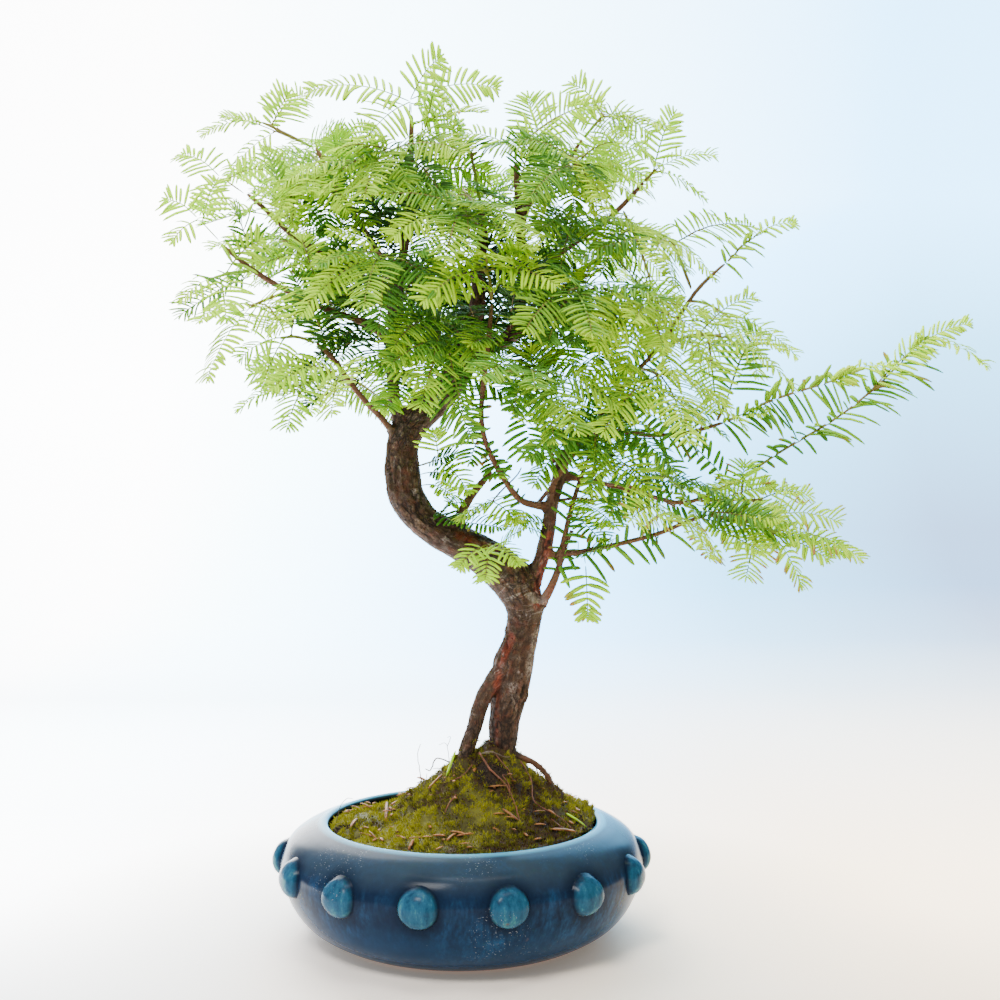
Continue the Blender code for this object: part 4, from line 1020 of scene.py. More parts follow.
def stem_needles(cloud, name, rng):
    """Set the scattered, arching needles of a shoot or a twig along its stem."""
    line = line_in_metres(STEM_LINES[name], 6)
    far = np.concatenate([[0.0], np.cumsum([(b - a).length for a, b in zip(line, line[1:])])])
    points = np.array([tuple(point) for point in line])
    for first, last, step, shortest, longest, turn, arch, youth in STEM_NEEDLES[name]:
        place = first * far[-1]
        while place < last * far[-1]:
            here, ahead = (Vector([np.interp(place + shift, far, points[:, axis]) for axis in range(3)])
                           for shift in (-0.001, 0.002))
            heading = (ahead - here).normalized()
            angle = math.radians(-turn + rng.gauss(0.0, 9.0))
            aim = Matrix.Rotation(angle, 3, Vector((0.0, 1.0, 0.0))) @ heading
            aim = (aim + Vector((0.0, rng.gauss(-0.1, 0.32), 0.0))).normalized()
            length = rng.uniform(shortest, longest) / 1000.0
            fall = UP * (-arch * rng.uniform(0.7, 1.4) * length)
            up = Vector((rng.gauss(0.0, 0.2), -0.75, 0.6)).normalized()
            cloud.add(here, aim * length + fall, up, arch, youth + rng.uniform(-0.08, 0.12),
                      rng.uniform(0.0, 0.8) if rng.random() < 0.25 else 0.0, rng.uniform(1.0, 1.4))
            place += step * rng.uniform(0.55, 1.45) / 1000.0


def spray_needles(cloud, name, settings, rng):
    """Add the needles of one spray to a cloud; return its bare mesh and the ribs of added fronds."""
    mesh = merged_copy(name)
    leaflets, ends, tips = leaflets_of(mesh)
    used = set()
    lines = []
    for end in ends:
        sides = sides_of_frond(end, leaflets, used)
        look = look_at(settings, name, end.co, rng)
        if name in STEM_NEEDLES:
            look = look._replace(youth=0.75)
        if name in SMALL_SPRAYS and sides:
            rib = sister_frond(cloud, sides, end.co, (0.0, 0.0), SMALL_SPRAYS[name], look, rng)
            lines += [rib, [nearest_wood(rib[0]), rib[0]]]
            continue
        for side in sides:
            needles_on_side(cloud, side, look, rng)
        lines.append(needles_at_end(cloud, foot_of(end), end.co, sides, look, rng))
        if sides and name in FULL_SPRAYS:
            lines += sisters_of(cloud, sides, end.co, name, look, rng)
    if name in STEM_NEEDLES:
        stem_needles(cloud, name, rng)
    if name in SMALL_SPRAYS:
        mesh.clear()
        return mesh, lines
    bmesh.ops.delete(mesh, geom=tips, context="VERTS")
    holes = [edge for edge in mesh.edges if edge.is_boundary]
    bmesh.ops.holes_fill(mesh, edges=holes, sides=4)
    return mesh, lines


def nearest_wood(place):
    """Return the place just inside the model's wood that is nearest to a place."""
    near, normal = node_surface("trunk").find_nearest(place)[:2]
    return near - normal * 0.0008


def inner_fronds(cloud, settings, rng):
    """Grow fronds straight from the twigs inside the crown; return their ribs."""
    bark = bpy.context.scene.objects["bark"].data
    places, normals = vertex_array(bark), vertex_array(bark, "normal")
    girth = np.empty(len(places))
    bark.attributes["girth"].data.foreach_get("value", girth)
    away = np.linalg.norm((places - np.array(CROWN_MIDDLE)) / np.array(CROWN_RADII), axis=1)
    order = np.flatnonzero((girth < INNER_GIRTH) & (places[:, 2] > INNER_HEIGHT) & (away < INNER_REACH))
    lines = []
    for index in rng.sample(list(order), INNER_FRONDS):
        place, normal = Vector(places[index]), Vector(normals[index])
        outward = (place - CROWN_MIDDLE).normalized()
        drift = Vector((rng.gauss(0.0, 0.3), rng.gauss(0.0, 0.3), rng.gauss(0.15, 0.3)))
        aim = normal + outward * 0.6 + drift
        up = Vector((rng.gauss(0.0, 0.3), -0.35 + rng.gauss(0.0, 0.3), 1.0)).normalized()
        look = look_at(settings, "inner", place, rng)
        reach = aim.normalized() * rng.uniform(0.034, 0.058)
        # Inner fronds are painted darker, as painted shade inside the crown
        lines.append(grow_frond(cloud, place - normal * 0.001, reach, up, rng.uniform(0.013, 0.02),
                                look._replace(youth=look.youth - 0.12), rng, 0.0, 0.12))
    return lines


def placed_fronds(cloud, settings, rng):
    """Grow the listed fronds and the single needles of bare stems; return the ribs."""
    carriers = [point for *_, points in SIDE_TWIGS for point in line_in_metres(points, 4)]
    lines = []
    for *ends, leaf, step, face, youth, burnt in ((*row, 0.0)[:11] for row in PLACED_FRONDS):
        foot, tip = Vector(ends[:3]) / 1000.0, Vector(ends[3:]) / 1000.0
        near = min([nearest_wood(foot), *carriers], key=lambda point: (point - foot).length)
        up = Vector((rng.gauss(0.0, 0.15), -0.3 - 0.7 * face, 1.0 - 0.8 * face)).normalized()
        look = Look(settings.curl, step / 1000.0, 0.62 + 0.12 * step, youth, burnt)
        reach = tip - foot + UP * (0.16 * (tip - foot).length)
        lines.append([near, *grow_frond(cloud, foot, reach, up, leaf / 1000.0, look, rng)])
    for name in STEM_NEEDLES:
        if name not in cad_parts:
            stem_needles(cloud, name, rng)
    return lines


def needle_material(settings):
    """Return the material of the needles: green by age and darker by painted shade inside the crown, thin
    enough to let light through.
    """
    paint = Paint("needle_green")
    along = paint.attribute("along")
    age = paint.maths("MULTIPLY_ADD", along, 0.12, paint.attribute("youth"))
    age = paint.maths("MULTIPLY_ADD", paint.noise(90.0, 2.0), 0.3, age)
    # Low youth gives the shaded green, the painted shade inside the crown
    green = paint.ramp(age, (0.2, settings.shaded), (0.66, settings.grown), (1.0, settings.young))
    dry = paint.times(paint.range_of(along, from_min=0.55, from_max=0.85), paint.attribute("scorch"))
    colour = paint.blend(dry, green, settings.scorched)
    through = paint.add("ShaderNodeBsdfTranslucent", {"Color": colour})
    mix = paint.add("ShaderNodeMixShader", {
        0: LIGHT_THROUGH, 1: paint.shader.outputs["BSDF"], 2: through.outputs["BSDF"]})
    feed(paint.tree.nodes["Material Output"].inputs["Surface"], mix.outputs[0])
    return paint.finish(colour, 0.5, 0.12)


def grow_needles(cloud, name, settings, material):
    """Grow a flat pointed needle on every point of a cloud, as one plain mesh."""
    growth = Growth("grow_needles", Width=settings.width, Thickness=settings.thickness, Segments=4,
                    Roll=0.28, Seed=SEED, Material=material)
    given, roll = growth.given, growth.given["Roll"]
    stick = growth.add("GeometryNodeMeshCylinder", {
        "Vertices": 3, "Side Segments": given["Segments"], "Radius": 0.5, "Depth": 1.0}, fill_type="NGON")
    x, y, z = growth.split(growth.add("GeometryNodeInputPosition").outputs["Position"])
    along = growth.curve(growth.maths("ADD", z, 0.5), *NEEDLE_RINGS)
    taper = growth.curve(along, *NEEDLE_TAPER)
    blade = growth.joined(along, growth.times(y, FLAT_SIDE, taper, given["Width"]),
                          growth.times(x, taper, given["Thickness"]))
    needle = growth.add("GeometryNodeSetPosition", {
        "Geometry": growth.keep(stick.outputs["Mesh"], "along", along), "Position": blade})
    tilt = growth.add("FunctionNodeRandomValue", {
        "Min": growth.times(roll, -1.0), "Max": roll, "Seed": given["Seed"]}, data_type="FLOAT_VECTOR")
    up = growth.add("ShaderNodeVectorMath", {
        0: growth.field("up"), 1: tilt.outputs["Value"]}, operation="ADD")
    rotation = growth.pointed(growth.field("aim"), "X")
    rotation = growth.pointed(up.outputs["Vector"], "Z", rotation, "X")
    size = growth.joined(growth.field("long", "FLOAT"), growth.field("wide", "FLOAT"), 1.0)
    straight = growth.set_out(needle.outputs["Geometry"], rotation, size)
    far = growth.field("along", "FLOAT")
    arch = growth.add("ShaderNodeVectorMath", {
        0: growth.field("bend"), "Scale": growth.times(far, far)}, operation="SCALE")
    bent = growth.add("GeometryNodeSetPosition", {"Geometry": straight, "Offset": arch.outputs["Vector"]})
    smooth = growth.add("GeometryNodeSetShadeSmooth", {"Geometry": bent.outputs["Geometry"]})
    return growth.grow(smooth.outputs["Geometry"], piece_of(name, cloud.to_mesh(name)))


def twig_material(settings):
    """Return the material of ribs and green stems: olive green that turns brown in places."""
    paint = Paint("twig_green")
    green = mixed(settings.grown, settings.young, 0.25)
    brown = paint.ramp(paint.noise(34.0, 2.0),
                       (0.4, green), (0.52, (0.2, 0.15, 0.04)), (0.64, (0.2, 0.1, 0.04)))
    streaks = paint.times(paint.noise(420.0, 4.0, 0.6), 0.5)
    return paint.finish(paint.blend(streaks, brown, darkened(green, 0.6)), 0.6, 0.2)


def thin_tube(mesh, line, thick, thin, sides=4):
    """Add a closed tube along a line to a mesh, tapering from one radius to another."""
    normal = (line[1] - line[0]).orthogonal().normalized()
    last = len(line) - 1
    rings = []
    for index, point in enumerate(line):
        tangent = (line[min(index + 1, last)] - line[max(index - 1, 0)]).normalized()
        normal = (normal - tangent * normal.dot(tangent)).normalized()
        across = tangent.cross(normal)
        radius = thick + (thin - thick) * index / last
        rings.append([mesh.verts.new(point + (normal * x + across * y) * radius)
                      for x, y in circle(1.0, sides)])
    for face in (*skin(rings), rings[0][::-1], rings[-1]):
        mesh.faces.new(face)


def join_ribs(name, meshes, lines, material):
    """Join the ribs and stems of several sprays into one smooth piece."""
    whole = bmesh.new()
    for line in lines:
        thin_tube(whole, line, 0.0006, 0.0004)
    for mesh in meshes:
        bmesh.ops.recalc_face_normals(mesh, faces=mesh.faces)
        rib = piece_of("rib", mesh)
        whole.from_mesh(rib.data)
        remove_piece(rib)
    piece = round_off(piece_of(name, whole, material), 1)
    piece.data.shade_smooth()
    finish_piece(piece, "needles")


def keep_tubes(mesh, name, material, slot):
    """Keep a mesh of thin tubes as a piece."""
    piece = piece_of(name, mesh, material)
    piece.data.shade_smooth()
    finish_piece(piece, slot)


class BONSAI_OT_sprays(bpy.types.Operator):
    """Grow the needles of every spray and round its ribs and stems"""

    bl_idname = "bonsai.sprays"
    bl_label = "Leafy Sprays"

    def execute(self, context):
        settings, wood = context.scene.bonsai_needles, context.scene.bonsai_wood
        green, stem = needle_material(settings), twig_material(settings)
        for group, names in SPRAY_GROUPS.items():
            rng = random.Random(group)
            cloud, ribs, lines = NeedleCloud(), [], []
            for name in names:
                mesh, added = spray_needles(cloud, name, settings, rng)
                ribs.append(mesh)
                lines += added
            finish_piece(grow_needles(cloud, group + "_needles", settings, green), "needles", *names)
            join_ribs(group + "_twigs", ribs, lines, stem)
        for name, grow in (("inner", inner_fronds), ("placed", placed_fronds)):
            cloud, rng = NeedleCloud(), random.Random(name)
            lines = grow(cloud, settings, rng)
            finish_piece(grow_needles(cloud, name + "_needles", settings, green), "needles")
            join_ribs(name + "_twigs", [], lines, stem)
        mesh = bmesh.new()
        for thick, thin, points in SIDE_TWIGS:
            thin_tube(mesh, line_in_metres(points), thick / 1000.0, thin / 1000.0, 7)
        bark = fibre_material("side_twig", wood.twig, mixed(wood.twig, wood.dark, 0.6))
        keep_tubes(mesh, "side_twigs", bark, "bark")
        return {"FINISHED"}


def turned_pot(outline):
    """Return the vertices and faces of the pot's closed wall, turned about its axis."""
    vertices, rings = [], []
    for radius, height in outline:
        places = circle(radius, POT_SIDES) if radius else [(0.0, 0.0)]
        rings.append(range(len(vertices), len(vertices) + len(places)))
        vertices += [(x, y, height) for x, y in places]
    return vertices, skin(rings)


def add_boss(shells, index, outside):
    """Add one closed boss whose flared foot follows the wall to a mesh."""
    turn = -math.pi / 2.0 + BOSS_TURN + 2.0 * math.pi * index / BOSS_COUNT
    radii, heights = zip(*outside)
    rings = []
    for radius, rise in BOSS_PROFILE:
        ring = []
        for across, over in circle(radius, BOSS_SIDES if radius else 1):
            high = BOSS_HEIGHT + over
            wall = float(np.interp(high, heights, radii))
            depth = math.sqrt(wall * wall - across * across) + rise
            ring.append(shells.verts.new((depth * math.cos(turn) - across * math.sin(turn),
                                          depth * math.sin(turn) + across * math.cos(turn), high)))
        rings.append(ring)
    for face in (*skin(rings), rings[0]):
        shells.faces.new(face)


def boss_shares(places):
    """Return how near each place is to a boss: 1 on its top, 0.3 at its foot, 0 on the plain wall."""
    turns = np.arctan2(places[:, 1], places[:, 0]) + math.pi / 2.0 - BOSS_TURN
    step = 2.0 * math.pi / BOSS_COUNT
    turns = (turns + step / 2.0) % step - step / 2.0
    across = turns * np.hypot(places[:, 0], places[:, 1])
    away = np.hypot(across, (places[:, 2] - BOSS_HEIGHT) * 1.02)
    foot = BOSS_PROFILE[1][0]
    on_boss = 1.0 - 0.7 * away / foot
    near = 0.3 * (1.0 - (away - foot) / BOSS_SHADE)
    return np.clip(np.where(away < foot, on_boss, near), 0.0, 1.0)


def cut_drains(pot):
    """Cut the drain holes through the pot's floor."""
    for x, y in circle(DRAIN_CIRCLE, DRAIN_COUNT):
        plug = bmesh.new()
        bmesh.ops.create_cone(plug, cap_ends=True, segments=24, radius1=DRAIN_RADIUS, radius2=DRAIN_RADIUS,
                              depth=0.03, matrix=Matrix.Translation((x, y, 0.005)))
        cutter = piece_of("plug", plug)
        pot.modifiers.new("drain", "BOOLEAN").object = cutter
        bake_modifiers(pot)
        remove_piece(cutter)


def glaze_material(settings):
    """Return the pot's glaze: dark blue with lighter runs, turquoise bosses with painted shade round their
    feet, and a bare clay foot.
    """
    paint = Paint("blue_glaze")
    ramp, blend, times, noise_at, deep = paint.ramp, paint.blend, paint.times, paint.noise, settings.deep
    height = paint.split(paint.places)["Z"]
    rise = paint.maths("DIVIDE", height, RIM_HEIGHT)
    upright = paint.stretched(paint.places, (1.0, 1.0, 0.35))
    clouds = noise_at(17.0, 5.0)
    colour = ramp(paint.maths("ADD", paint.maths("MULTIPLY_ADD", clouds, 0.16, -0.08), rise),
                  (0.0, mixed(deep, settings.streak, 0.25)), (0.3, mixed(deep, settings.streak, 0.2)),
                  (0.5, deep), (0.74, deep), (0.86, mixed(deep, settings.shoulder, 0.8)),
                  (1.0, settings.shoulder))
    band = ramp(rise, (0.0, 0.12), (0.22, 0.5), (0.46, 1.0), (0.68, 0.75), (0.8, 0.12), (0.97, 0.3))
    runs = ramp(noise_at(95.0, 8.0, 0.68, upright), (0.4, 0.0), (0.68, 1.0))
    specks = ramp(noise_at(520.0, 5.0, 0.6, upright), (0.36, 0.25), (0.64, 1.0))
    patches = ramp(clouds, (0.36, 0.15), (0.6, 1.0))
    colour = blend(times(band, runs, times(specks, patches)), colour, settings.streak)
    boss = paint.attribute("boss")
    # Painted shade: a dark ring round the foot of each boss
    boss_foot_shade = ramp(boss, (0.0, 0.0), (0.24, 0.62), (0.3, 0.85))
    colour = blend(boss_foot_shade, colour, darkened(deep, 0.4))
    dapple = paint.maths("MULTIPLY_ADD", noise_at(210.0, 7.0, 0.72, upright), 1.3, BOSS_HEIGHT * 9.0 - 0.1)
    dots = ramp(paint.maths("MULTIPLY_ADD", height, -9.0, dapple),
                (0.3, mixed(deep, settings.boss, 0.3)), (0.46, mixed(deep, settings.boss, 0.7)),
                (0.6, settings.boss), (0.76, settings.boss_edge))
    colour = blend(ramp(boss, (0.31, 0.0), (0.4, 1.0)), colour, dots)
    colour = blend(ramp(rise, (0.984, 0.0), (0.996, 1.0)), colour, settings.lip)
    clay = ramp(rise, (0.012, 1.0), (0.03, 0.0))
    colour = blend(clay, colour, settings.clay)
    pit = times(ramp(paint.cells(68.0, paint.places), (0.07, 1.0), (0.12, 0.0)),
                ramp(noise_at(21.0, 2.0), (0.6, 0.0), (0.63, 1.0)))
    colour = blend(pit, colour, darkened(settings.clay, 0.65))
    scuff = times(ramp(noise_at(1100.0, 2.0), (0.66, 0.0), (0.7, 0.6)),
                  ramp(noise_at(26.0, 3.0), (0.57, 0.0), (0.63, 1.0)))
    colour = blend(scuff, colour, SCUFF)
    paint.bump(clouds, 0.2, 0.0015)
    dull = paint.maths("MAXIMUM", clay, pit)
    return paint.finish(colour, paint.range_of(dull, to_min=0.2, to_max=0.7), 0.055)


def outline_through(points, steps):
    """Return a smooth outline through points of radius and height."""
    return [(point.x, point.y) for point in smooth_line([(*point, 0.0) for point in points], steps)]


class BONSAI_OT_pot(bpy.types.Operator):
    """Turn the glazed pot with its bosses and drain holes"""

    bl_idname = "bonsai.pot"
    bl_label = "Glazed Pot"

    def execute(self, context):
        outside = outline_through(POT_OUTSIDE, 7)
        lip = outline_through((POT_OUTSIDE[-1], *POT_LIP), 3)
        inside = outline_through(POT_INSIDE, 4)
        outline = [(0.0, 0.0), *outside[:-1], *lip[:-1], *inside, (0.0, inside[-1][1])]
        wall = mesh_of("glazed_pot", *turned_pot(outline))
        pot = piece_of("glazed_pot", wall, glaze_material(context.scene.bonsai_pot))
        cut_drains(pot)
        shells = bmesh.new()
        shells.from_mesh(pot.data)
        for index in range(BOSS_COUNT):
            add_boss(shells, index, outside)
        bmesh.ops.recalc_face_normals(shells, faces=shells.faces)
        shells.to_mesh(pot.data)
        shells.free()
        store(pot.data, "boss", boss_shares(vertex_array(pot.data)))
        pot.data.shade_smooth()
        pot.data.set_sharp_from_angle(angle=math.radians(50.0))
        finish_piece(pot, "pot_glaze", "pot")
        return {"FINISHED"}


def grain_coordinates(places):
    """Return each place's bark coordinates, round and along its grain line, and the line's radius."""
    best = np.full(len(places), np.inf)
    found = np.zeros((len(places), 3))
    radii = np.zeros(len(places))
    for number, line in enumerate(GRAIN):
        line = np.array(line) / 1000.0
        points, sizes = line[:, :3], line[:, 3]
        start = 0.37 * number
        normal = np.array(Vector(points[1] - points[0]).orthogonal().normalized())
        for index in range(len(points) - 1):
            axis = points[index + 1] - points[index]
            length = np.linalg.norm(axis)
            axis = axis / length
            normal = normal - axis * normal.dot(axis)
            normal /= np.linalg.norm(normal)
            offset = places - points[index]
            far = np.clip(offset @ axis, 0.0, length)
            spoke = offset - far[:, None] * axis
            size = sizes[index] + (sizes[index + 1] - sizes[index]) * far / length
            away = np.linalg.norm(spoke, axis=1)
            share = away / size
            closer = share < best
            round_x = spoke @ normal / np.maximum(away, 1e-6) * size
            round_y = spoke @ np.cross(axis, normal) / np.maximum(away, 1e-6) * size
            local = np.stack([round_x, round_y, start + far], axis=1)
            found[closer] = local[closer]
            radii[closer] = size[closer]
            best = np.minimum(best, share)
            start += length
    return found, np.where(best < GRAIN_REACH, radii, 0.0)


def mark_shares(places, name, shift):
    """Return how strongly a kind of mark shows at each place."""
    shares = np.zeros(len(places))
    for start, end, width in BARK_MARKS[name]:
        start, end = np.array(start) / 1000.0, np.array(end) / 1000.0
        axis = end - start
        far = np.clip((places - start) @ axis / (axis @ axis), 0.0, 1.0)
        away = np.linalg.norm((places - start - far[:, None] * axis) * MARK_DEPTH, axis=1)
        shares = np.maximum(shares, 1.0 - away / (width / 1000.0))
    ragged = np.array([noise.noise(Vector(place) * 260.0 + Vector((shift, 0.0, 0.0))) for place in places])
    return np.clip(shares * 2.2 + ragged * 0.5 * (shares > -0.4), 0.0, 1.0)


def inward_depth(tree, place, normal):
    """Return how thick a body is under a place on its surface."""
    hit = tree.ray_cast(place - normal * 0.0001, -normal)
    return hit[3] if hit[0] is not None else 0.001


def evened(mesh, values, rounds):
    """Average a value over each vertex's neighbours, a number of rounds."""
    edges = np.empty(len(mesh.edges) * 2, np.int32)
    mesh.edges.foreach_get("vertices", edges)
    one, two = edges.reshape(-1, 2).T
    size = len(values)
    counts = np.bincount(edges, minlength=size) + 1.0
    for _ in range(rounds):
        values = (values + np.bincount(one, values[two], size) + np.bincount(two, values[one], size)) / counts
    return values


def smooth_wood():
    """Return the model's wood as a fine mesh without facets, at its own thickness."""
    mesh = merged_copy("trunk")
    tree = BVHTree.FromBMesh(mesh)
    moves = [vertex.normal * min(0.16 * inward_depth(tree, vertex.co, vertex.normal), 0.0004)
             for vertex in mesh.verts]
    for vertex, move in zip(mesh.verts, moves):
        vertex.co += move
    return round_off(piece_of("smooth_wood", mesh), 2)


def bark_mesh(wood):
    """Remesh the wood evenly and finely, and lay the new mesh on its smooth surface."""
    fine = piece_of("bark", wood.data.copy())
    even = fine.modifiers.new("even", "REMESH")
    even.mode = "VOXEL"
    even.voxel_size = BARK_VOXEL
    settle = fine.modifiers.new("settle", "SMOOTH")
    settle.iterations = 3
    bake_modifiers(fine)
    fine.modifiers.new("lay", "SHRINKWRAP").target = wood
    bake_modifiers(fine)
    return fine


def bark_relief(local, radii, places, rough):
    """Return the bark's height at each vertex, in shares of its relief, and how deep its cracks are."""
    heights = np.zeros(len(places))
    cracks = np.zeros(len(places))
    for index in np.flatnonzero(radii > 0.0):
        x, y, z = local[index]
        ground = Vector(places[index])
        turn = noise.noise(ground * 90.0) * 0.0035
        grain = Vector((x + turn, y - turn, z * 0.16 + turn))
        wide = noise.noise(grain * 330.0)
        fine = noise.noise(grain * 820.0 + Vector((7.0, 3.0, 1.0)))
        cross = noise.noise(Vector((x * 150.0, y * 150.0, z * 210.0)))
        plate = noise.fractal(Vector((x, y, z * 0.45)) * 420.0, 0.9, 2.0, 3)
        lump = noise.noise(ground * 75.0)
        crack = math.exp(-(wide / 0.075) ** 2) + 0.6 * math.exp(-(fine / 0.07) ** 2)
        crack += 0.5 * math.exp(-(cross / 0.05) ** 2)
        cracks[index] = min(crack, 1.4)
        heights[index] = 0.9 * lump + 0.35 * plate * (1.0 + 2.0 * rough[index]) - 0.75 * cracks[index]
    return heights, cracks


def bark_material(settings):
    """Return the bark: fine dark cracks, partly their own colour and partly painted shade, reddish scales,
    pale streaks and redder young wood.
    """
    paint = Paint("bark")
    ramp, blend, times, noise_at = paint.ramp, paint.blend, paint.times, paint.noise
    dark, bark, twig = settings.dark, settings.bark, settings.twig
    grain = paint.attribute("grain", "Vector")
    warp = paint.add("ShaderNodeVectorMath", {
        0: noise_at(260.0, 2.0, output="Color"), 1: (0.0035, 0.0035, 0.0035), 2: grain},
        operation="MULTIPLY_ADD")
    wide_cracks, fine_cracks = (
        ramp(paint.cells(scale, warp.outputs["Vector"], "DISTANCE_TO_EDGE"), (0.0, 1.0), (edge, 0.0))
        for scale, edge in ((230.0, 0.2), (560.0, 0.16)))
    grit = noise_at(900.0, 6.0, 0.7)
    clouds = noise_at(48.0)
    mix = paint.maths("ADD", times(noise_at(300.0, 8.0, 0.65, grain), 0.6), times(grit, 0.4))
    colour = ramp(paint.maths("ADD", mix, paint.maths("MULTIPLY_ADD", clouds, 0.56, -0.28)),
                  (0.28, mixed(dark, bark, 0.35)), (0.42, mixed(dark, bark, 0.8)), (0.52, bark),
                  (0.62, mixed(bark, settings.worn, 0.45)), (0.76, settings.worn))
    colour = blend(times(paint.attribute("red"), 0.95), colour, settings.red)
    pale = times(paint.attribute("pale"), ramp(grit, (0.42, 0.1), (0.58, 0.8)))
    folds = noise_at(560.0, 3.0, 0.5, paint.stretched(grain, (0.22, 0.22, 5.0)))
    fold = times(paint.attribute("wrinkled"), ramp(folds, (0.54, 0.0), (0.66, 0.75)))
    flake = times(ramp(noise_at(520.0, 4.0, 0.6, grain), (0.56, 0.0), (0.66, 0.6)),
                  ramp(noise_at(70.0, 3.0), (0.5, 0.0), (0.6, 1.0)))
    for share in (pale, fold, flake):
        colour = blend(share, colour, settings.pale)
    # The bark is painted darker towards the bottom, below 0.15 m
    darker_low = ramp(paint.split(paint.places)["Z"], (0.085, 0.6), (0.15, 0.0))
    colour = blend(darker_low, colour, dark)
    thick = times(paint.attribute("girth"), 100.0)
    thin = ramp(thick, (0.0, 1.0), (0.4, 0.85), (0.85, 0.0))
    fresh = ramp(thick, (0.18, settings.shoot), (0.3, twig), (0.6, mixed(twig, bark, 0.5)))
    colour = blend(thin, colour, blend(grit, mixed(twig, dark, 0.35), fresh))
    # The cracks are painted dark: partly the bark's own darker furrows, partly painted shade
    crack = paint.maths("MAXIMUM", times(wide_cracks, ramp(clouds, (0.38, 0.3), (0.54, 1.0))),
                        times(fine_cracks, 0.6))
    colour = blend(times(crack, paint.maths("SUBTRACT", 1.0, thin)), colour, dark)
    colour = blend(times(paint.attribute("crack"), 0.45), colour, dark)
    paint.bump(paint.maths("SUBTRACT", mix, times(crack, 0.5)), 0.95, 0.001)
    return paint.finish(colour, 0.75, 0.25)


class BONSAI_OT_wood(bpy.types.Operator):
    """Give the trunk, its root leg and the branches their bark"""

    bl_idname = "bonsai.wood"
    bl_label = "Wood and Bark"

    def execute(self, context):
        settings = context.scene.bonsai_wood
        wood = smooth_wood()
        bark = bark_mesh(wood)
        coarse = bmesh.new()
        coarse.from_mesh(wood.data)
        tree = surface_of(coarse)
        mesh = bark.data
        places, normals = vertex_array(mesh), vertex_array(mesh, "normal")
        local, radii = grain_coordinates(places)
        girth = np.array([inward_depth(tree, Vector(place), Vector(normal))
                          for place, normal in zip(places, normals)])
        girth = evened(mesh, girth, 12)
        rough = mark_shares(places, "rough", 3.0)
        heights, cracks = bark_relief(local, radii, places, rough)
        relief = settings.furrow * np.clip(girth / THICK_WOOD, 0.12, 1.0) * (1.0 + 0.8 * rough)
        moved = places + normals * (heights * relief)[:, None]
        mesh.vertices.foreach_set("co", moved.ravel())
        local[:, 2] *= 0.3
        local[radii == 0.0] = places[radii == 0.0]
        store(mesh, "grain", local)
        store(mesh, "crack", np.clip(cracks, 0.0, 1.0) * np.clip(girth / THICK_WOOD, 0.0, 1.0))
        store(mesh, "girth", girth)
        for name, shift in (("red", 11.0), ("pale", 17.0), ("wrinkled", 23.0)):
            store(mesh, name, mark_shares(places, name, shift))
        mesh.materials.clear()
        mesh.materials.append(bark_material(settings))
        mesh.shade_smooth()
        remove_piece(wood)
        finish_piece(bark, "bark", "trunk")
        return {"FINISHED"}


def model_height(x, y):
    """Return the height of the moss of the model."""
    moss = node_surface("moss")
    place = moss.ray_cast(Vector((x, y, 0.2)), Vector((0.0, 0.0, -1.0)))[0]
    if place is None or place.z < MOSS_LOWEST:
        place = moss.find_nearest(Vector((x, y, 0.1)))[0]
    return place.z


def ground_height(x, y):
    """Return the height of the moss, with its cushions and hollows."""
    z = sum(model_height(x + dx, y + dy) for dx, dy in
            ((0.0, 0.0), (0.0035, 0.0), (-0.0035, 0.0), (0.0, 0.0035), (0.0, -0.0035))) / 5.0
    place = Vector((x, y, z))
    cushion = noise.noise(place * 80.0) * CUSHION_HEIGHT + tuft_share(place) * TUFT_HEIGHT
    climb = CLIMB_HEIGHT * math.exp(-(node_surface("trunk").find_nearest(place)[3] / CLIMB_REACH) ** 2)
    edge = EDGE_FALL * min(max((math.hypot(x, y) - EDGE_START) / EDGE_WIDTH, 0.0), 1.0) ** 2
    return z + cushion + climb - edge - BARE_DEPTH * bareness(x, y)


def above_ground(point):
    """Return a place in metres for x, y and the height above the ground in millimetres."""
    x, y = point[0] / 1000.0, point[1] / 1000.0
    return Vector((x, y, ground_height(x, y) + point[2] / 1000.0))


def tuft_share(place):
    """Return how far up a tuft of moss a place is: below 0 in the gaps, above 0 on the tufts."""
    place = Vector(place)
    return noise.noise(place * 310.0) * 1.2 + noise.noise(place * 125.0) * 0.5


def bareness(x, y):
    """Return how bare of moss a place on the ground is."""
    share = -1.0
    for bare_x, bare_y, radius in BARE_PLACES:
        share = max(share, 1.0 - math.hypot(x * 1000.0 - bare_x, y * 1000.0 - bare_y) / radius)
    share = share * 2.0 + noise.noise(Vector((x, y, 0.0)) * 330.0) * 0.5
    return min(max(share, 0.0), 1.0)


def scatter(mesh, count, weigh, rng):
    """Return random places on a mesh's faces with their normals, drawn by area and a weight."""
    mesh.calc_loop_triangles()
    corners = np.empty(len(mesh.loop_triangles) * 3, np.int32)
    mesh.loop_triangles.foreach_get("vertices", corners)
    places, normals = vertex_array(mesh), vertex_array(mesh, "normal")
    triangles = corners.reshape(-1, 3)
    a, b, c = (places[triangles[:, index]] for index in range(3))
    areas = np.linalg.norm(np.cross(b - a, c - a), axis=1) / 2.0
    weights = areas * weigh((a + b + c) / 3.0, normals[triangles].mean(axis=1))
    picks = rng.choice(len(triangles), count, p=weights / weights.sum())
    u, v = rng.random(count), rng.random(count)
    over = u + v > 1.0
    u[over], v[over] = 1.0 - u[over], 1.0 - v[over]
    a, b, c = a[picks], b[picks], c[picks]
    return a + (b - a) * u[:, None] + (c - a) * v[:, None], normals[triangles[picks]].mean(axis=1)


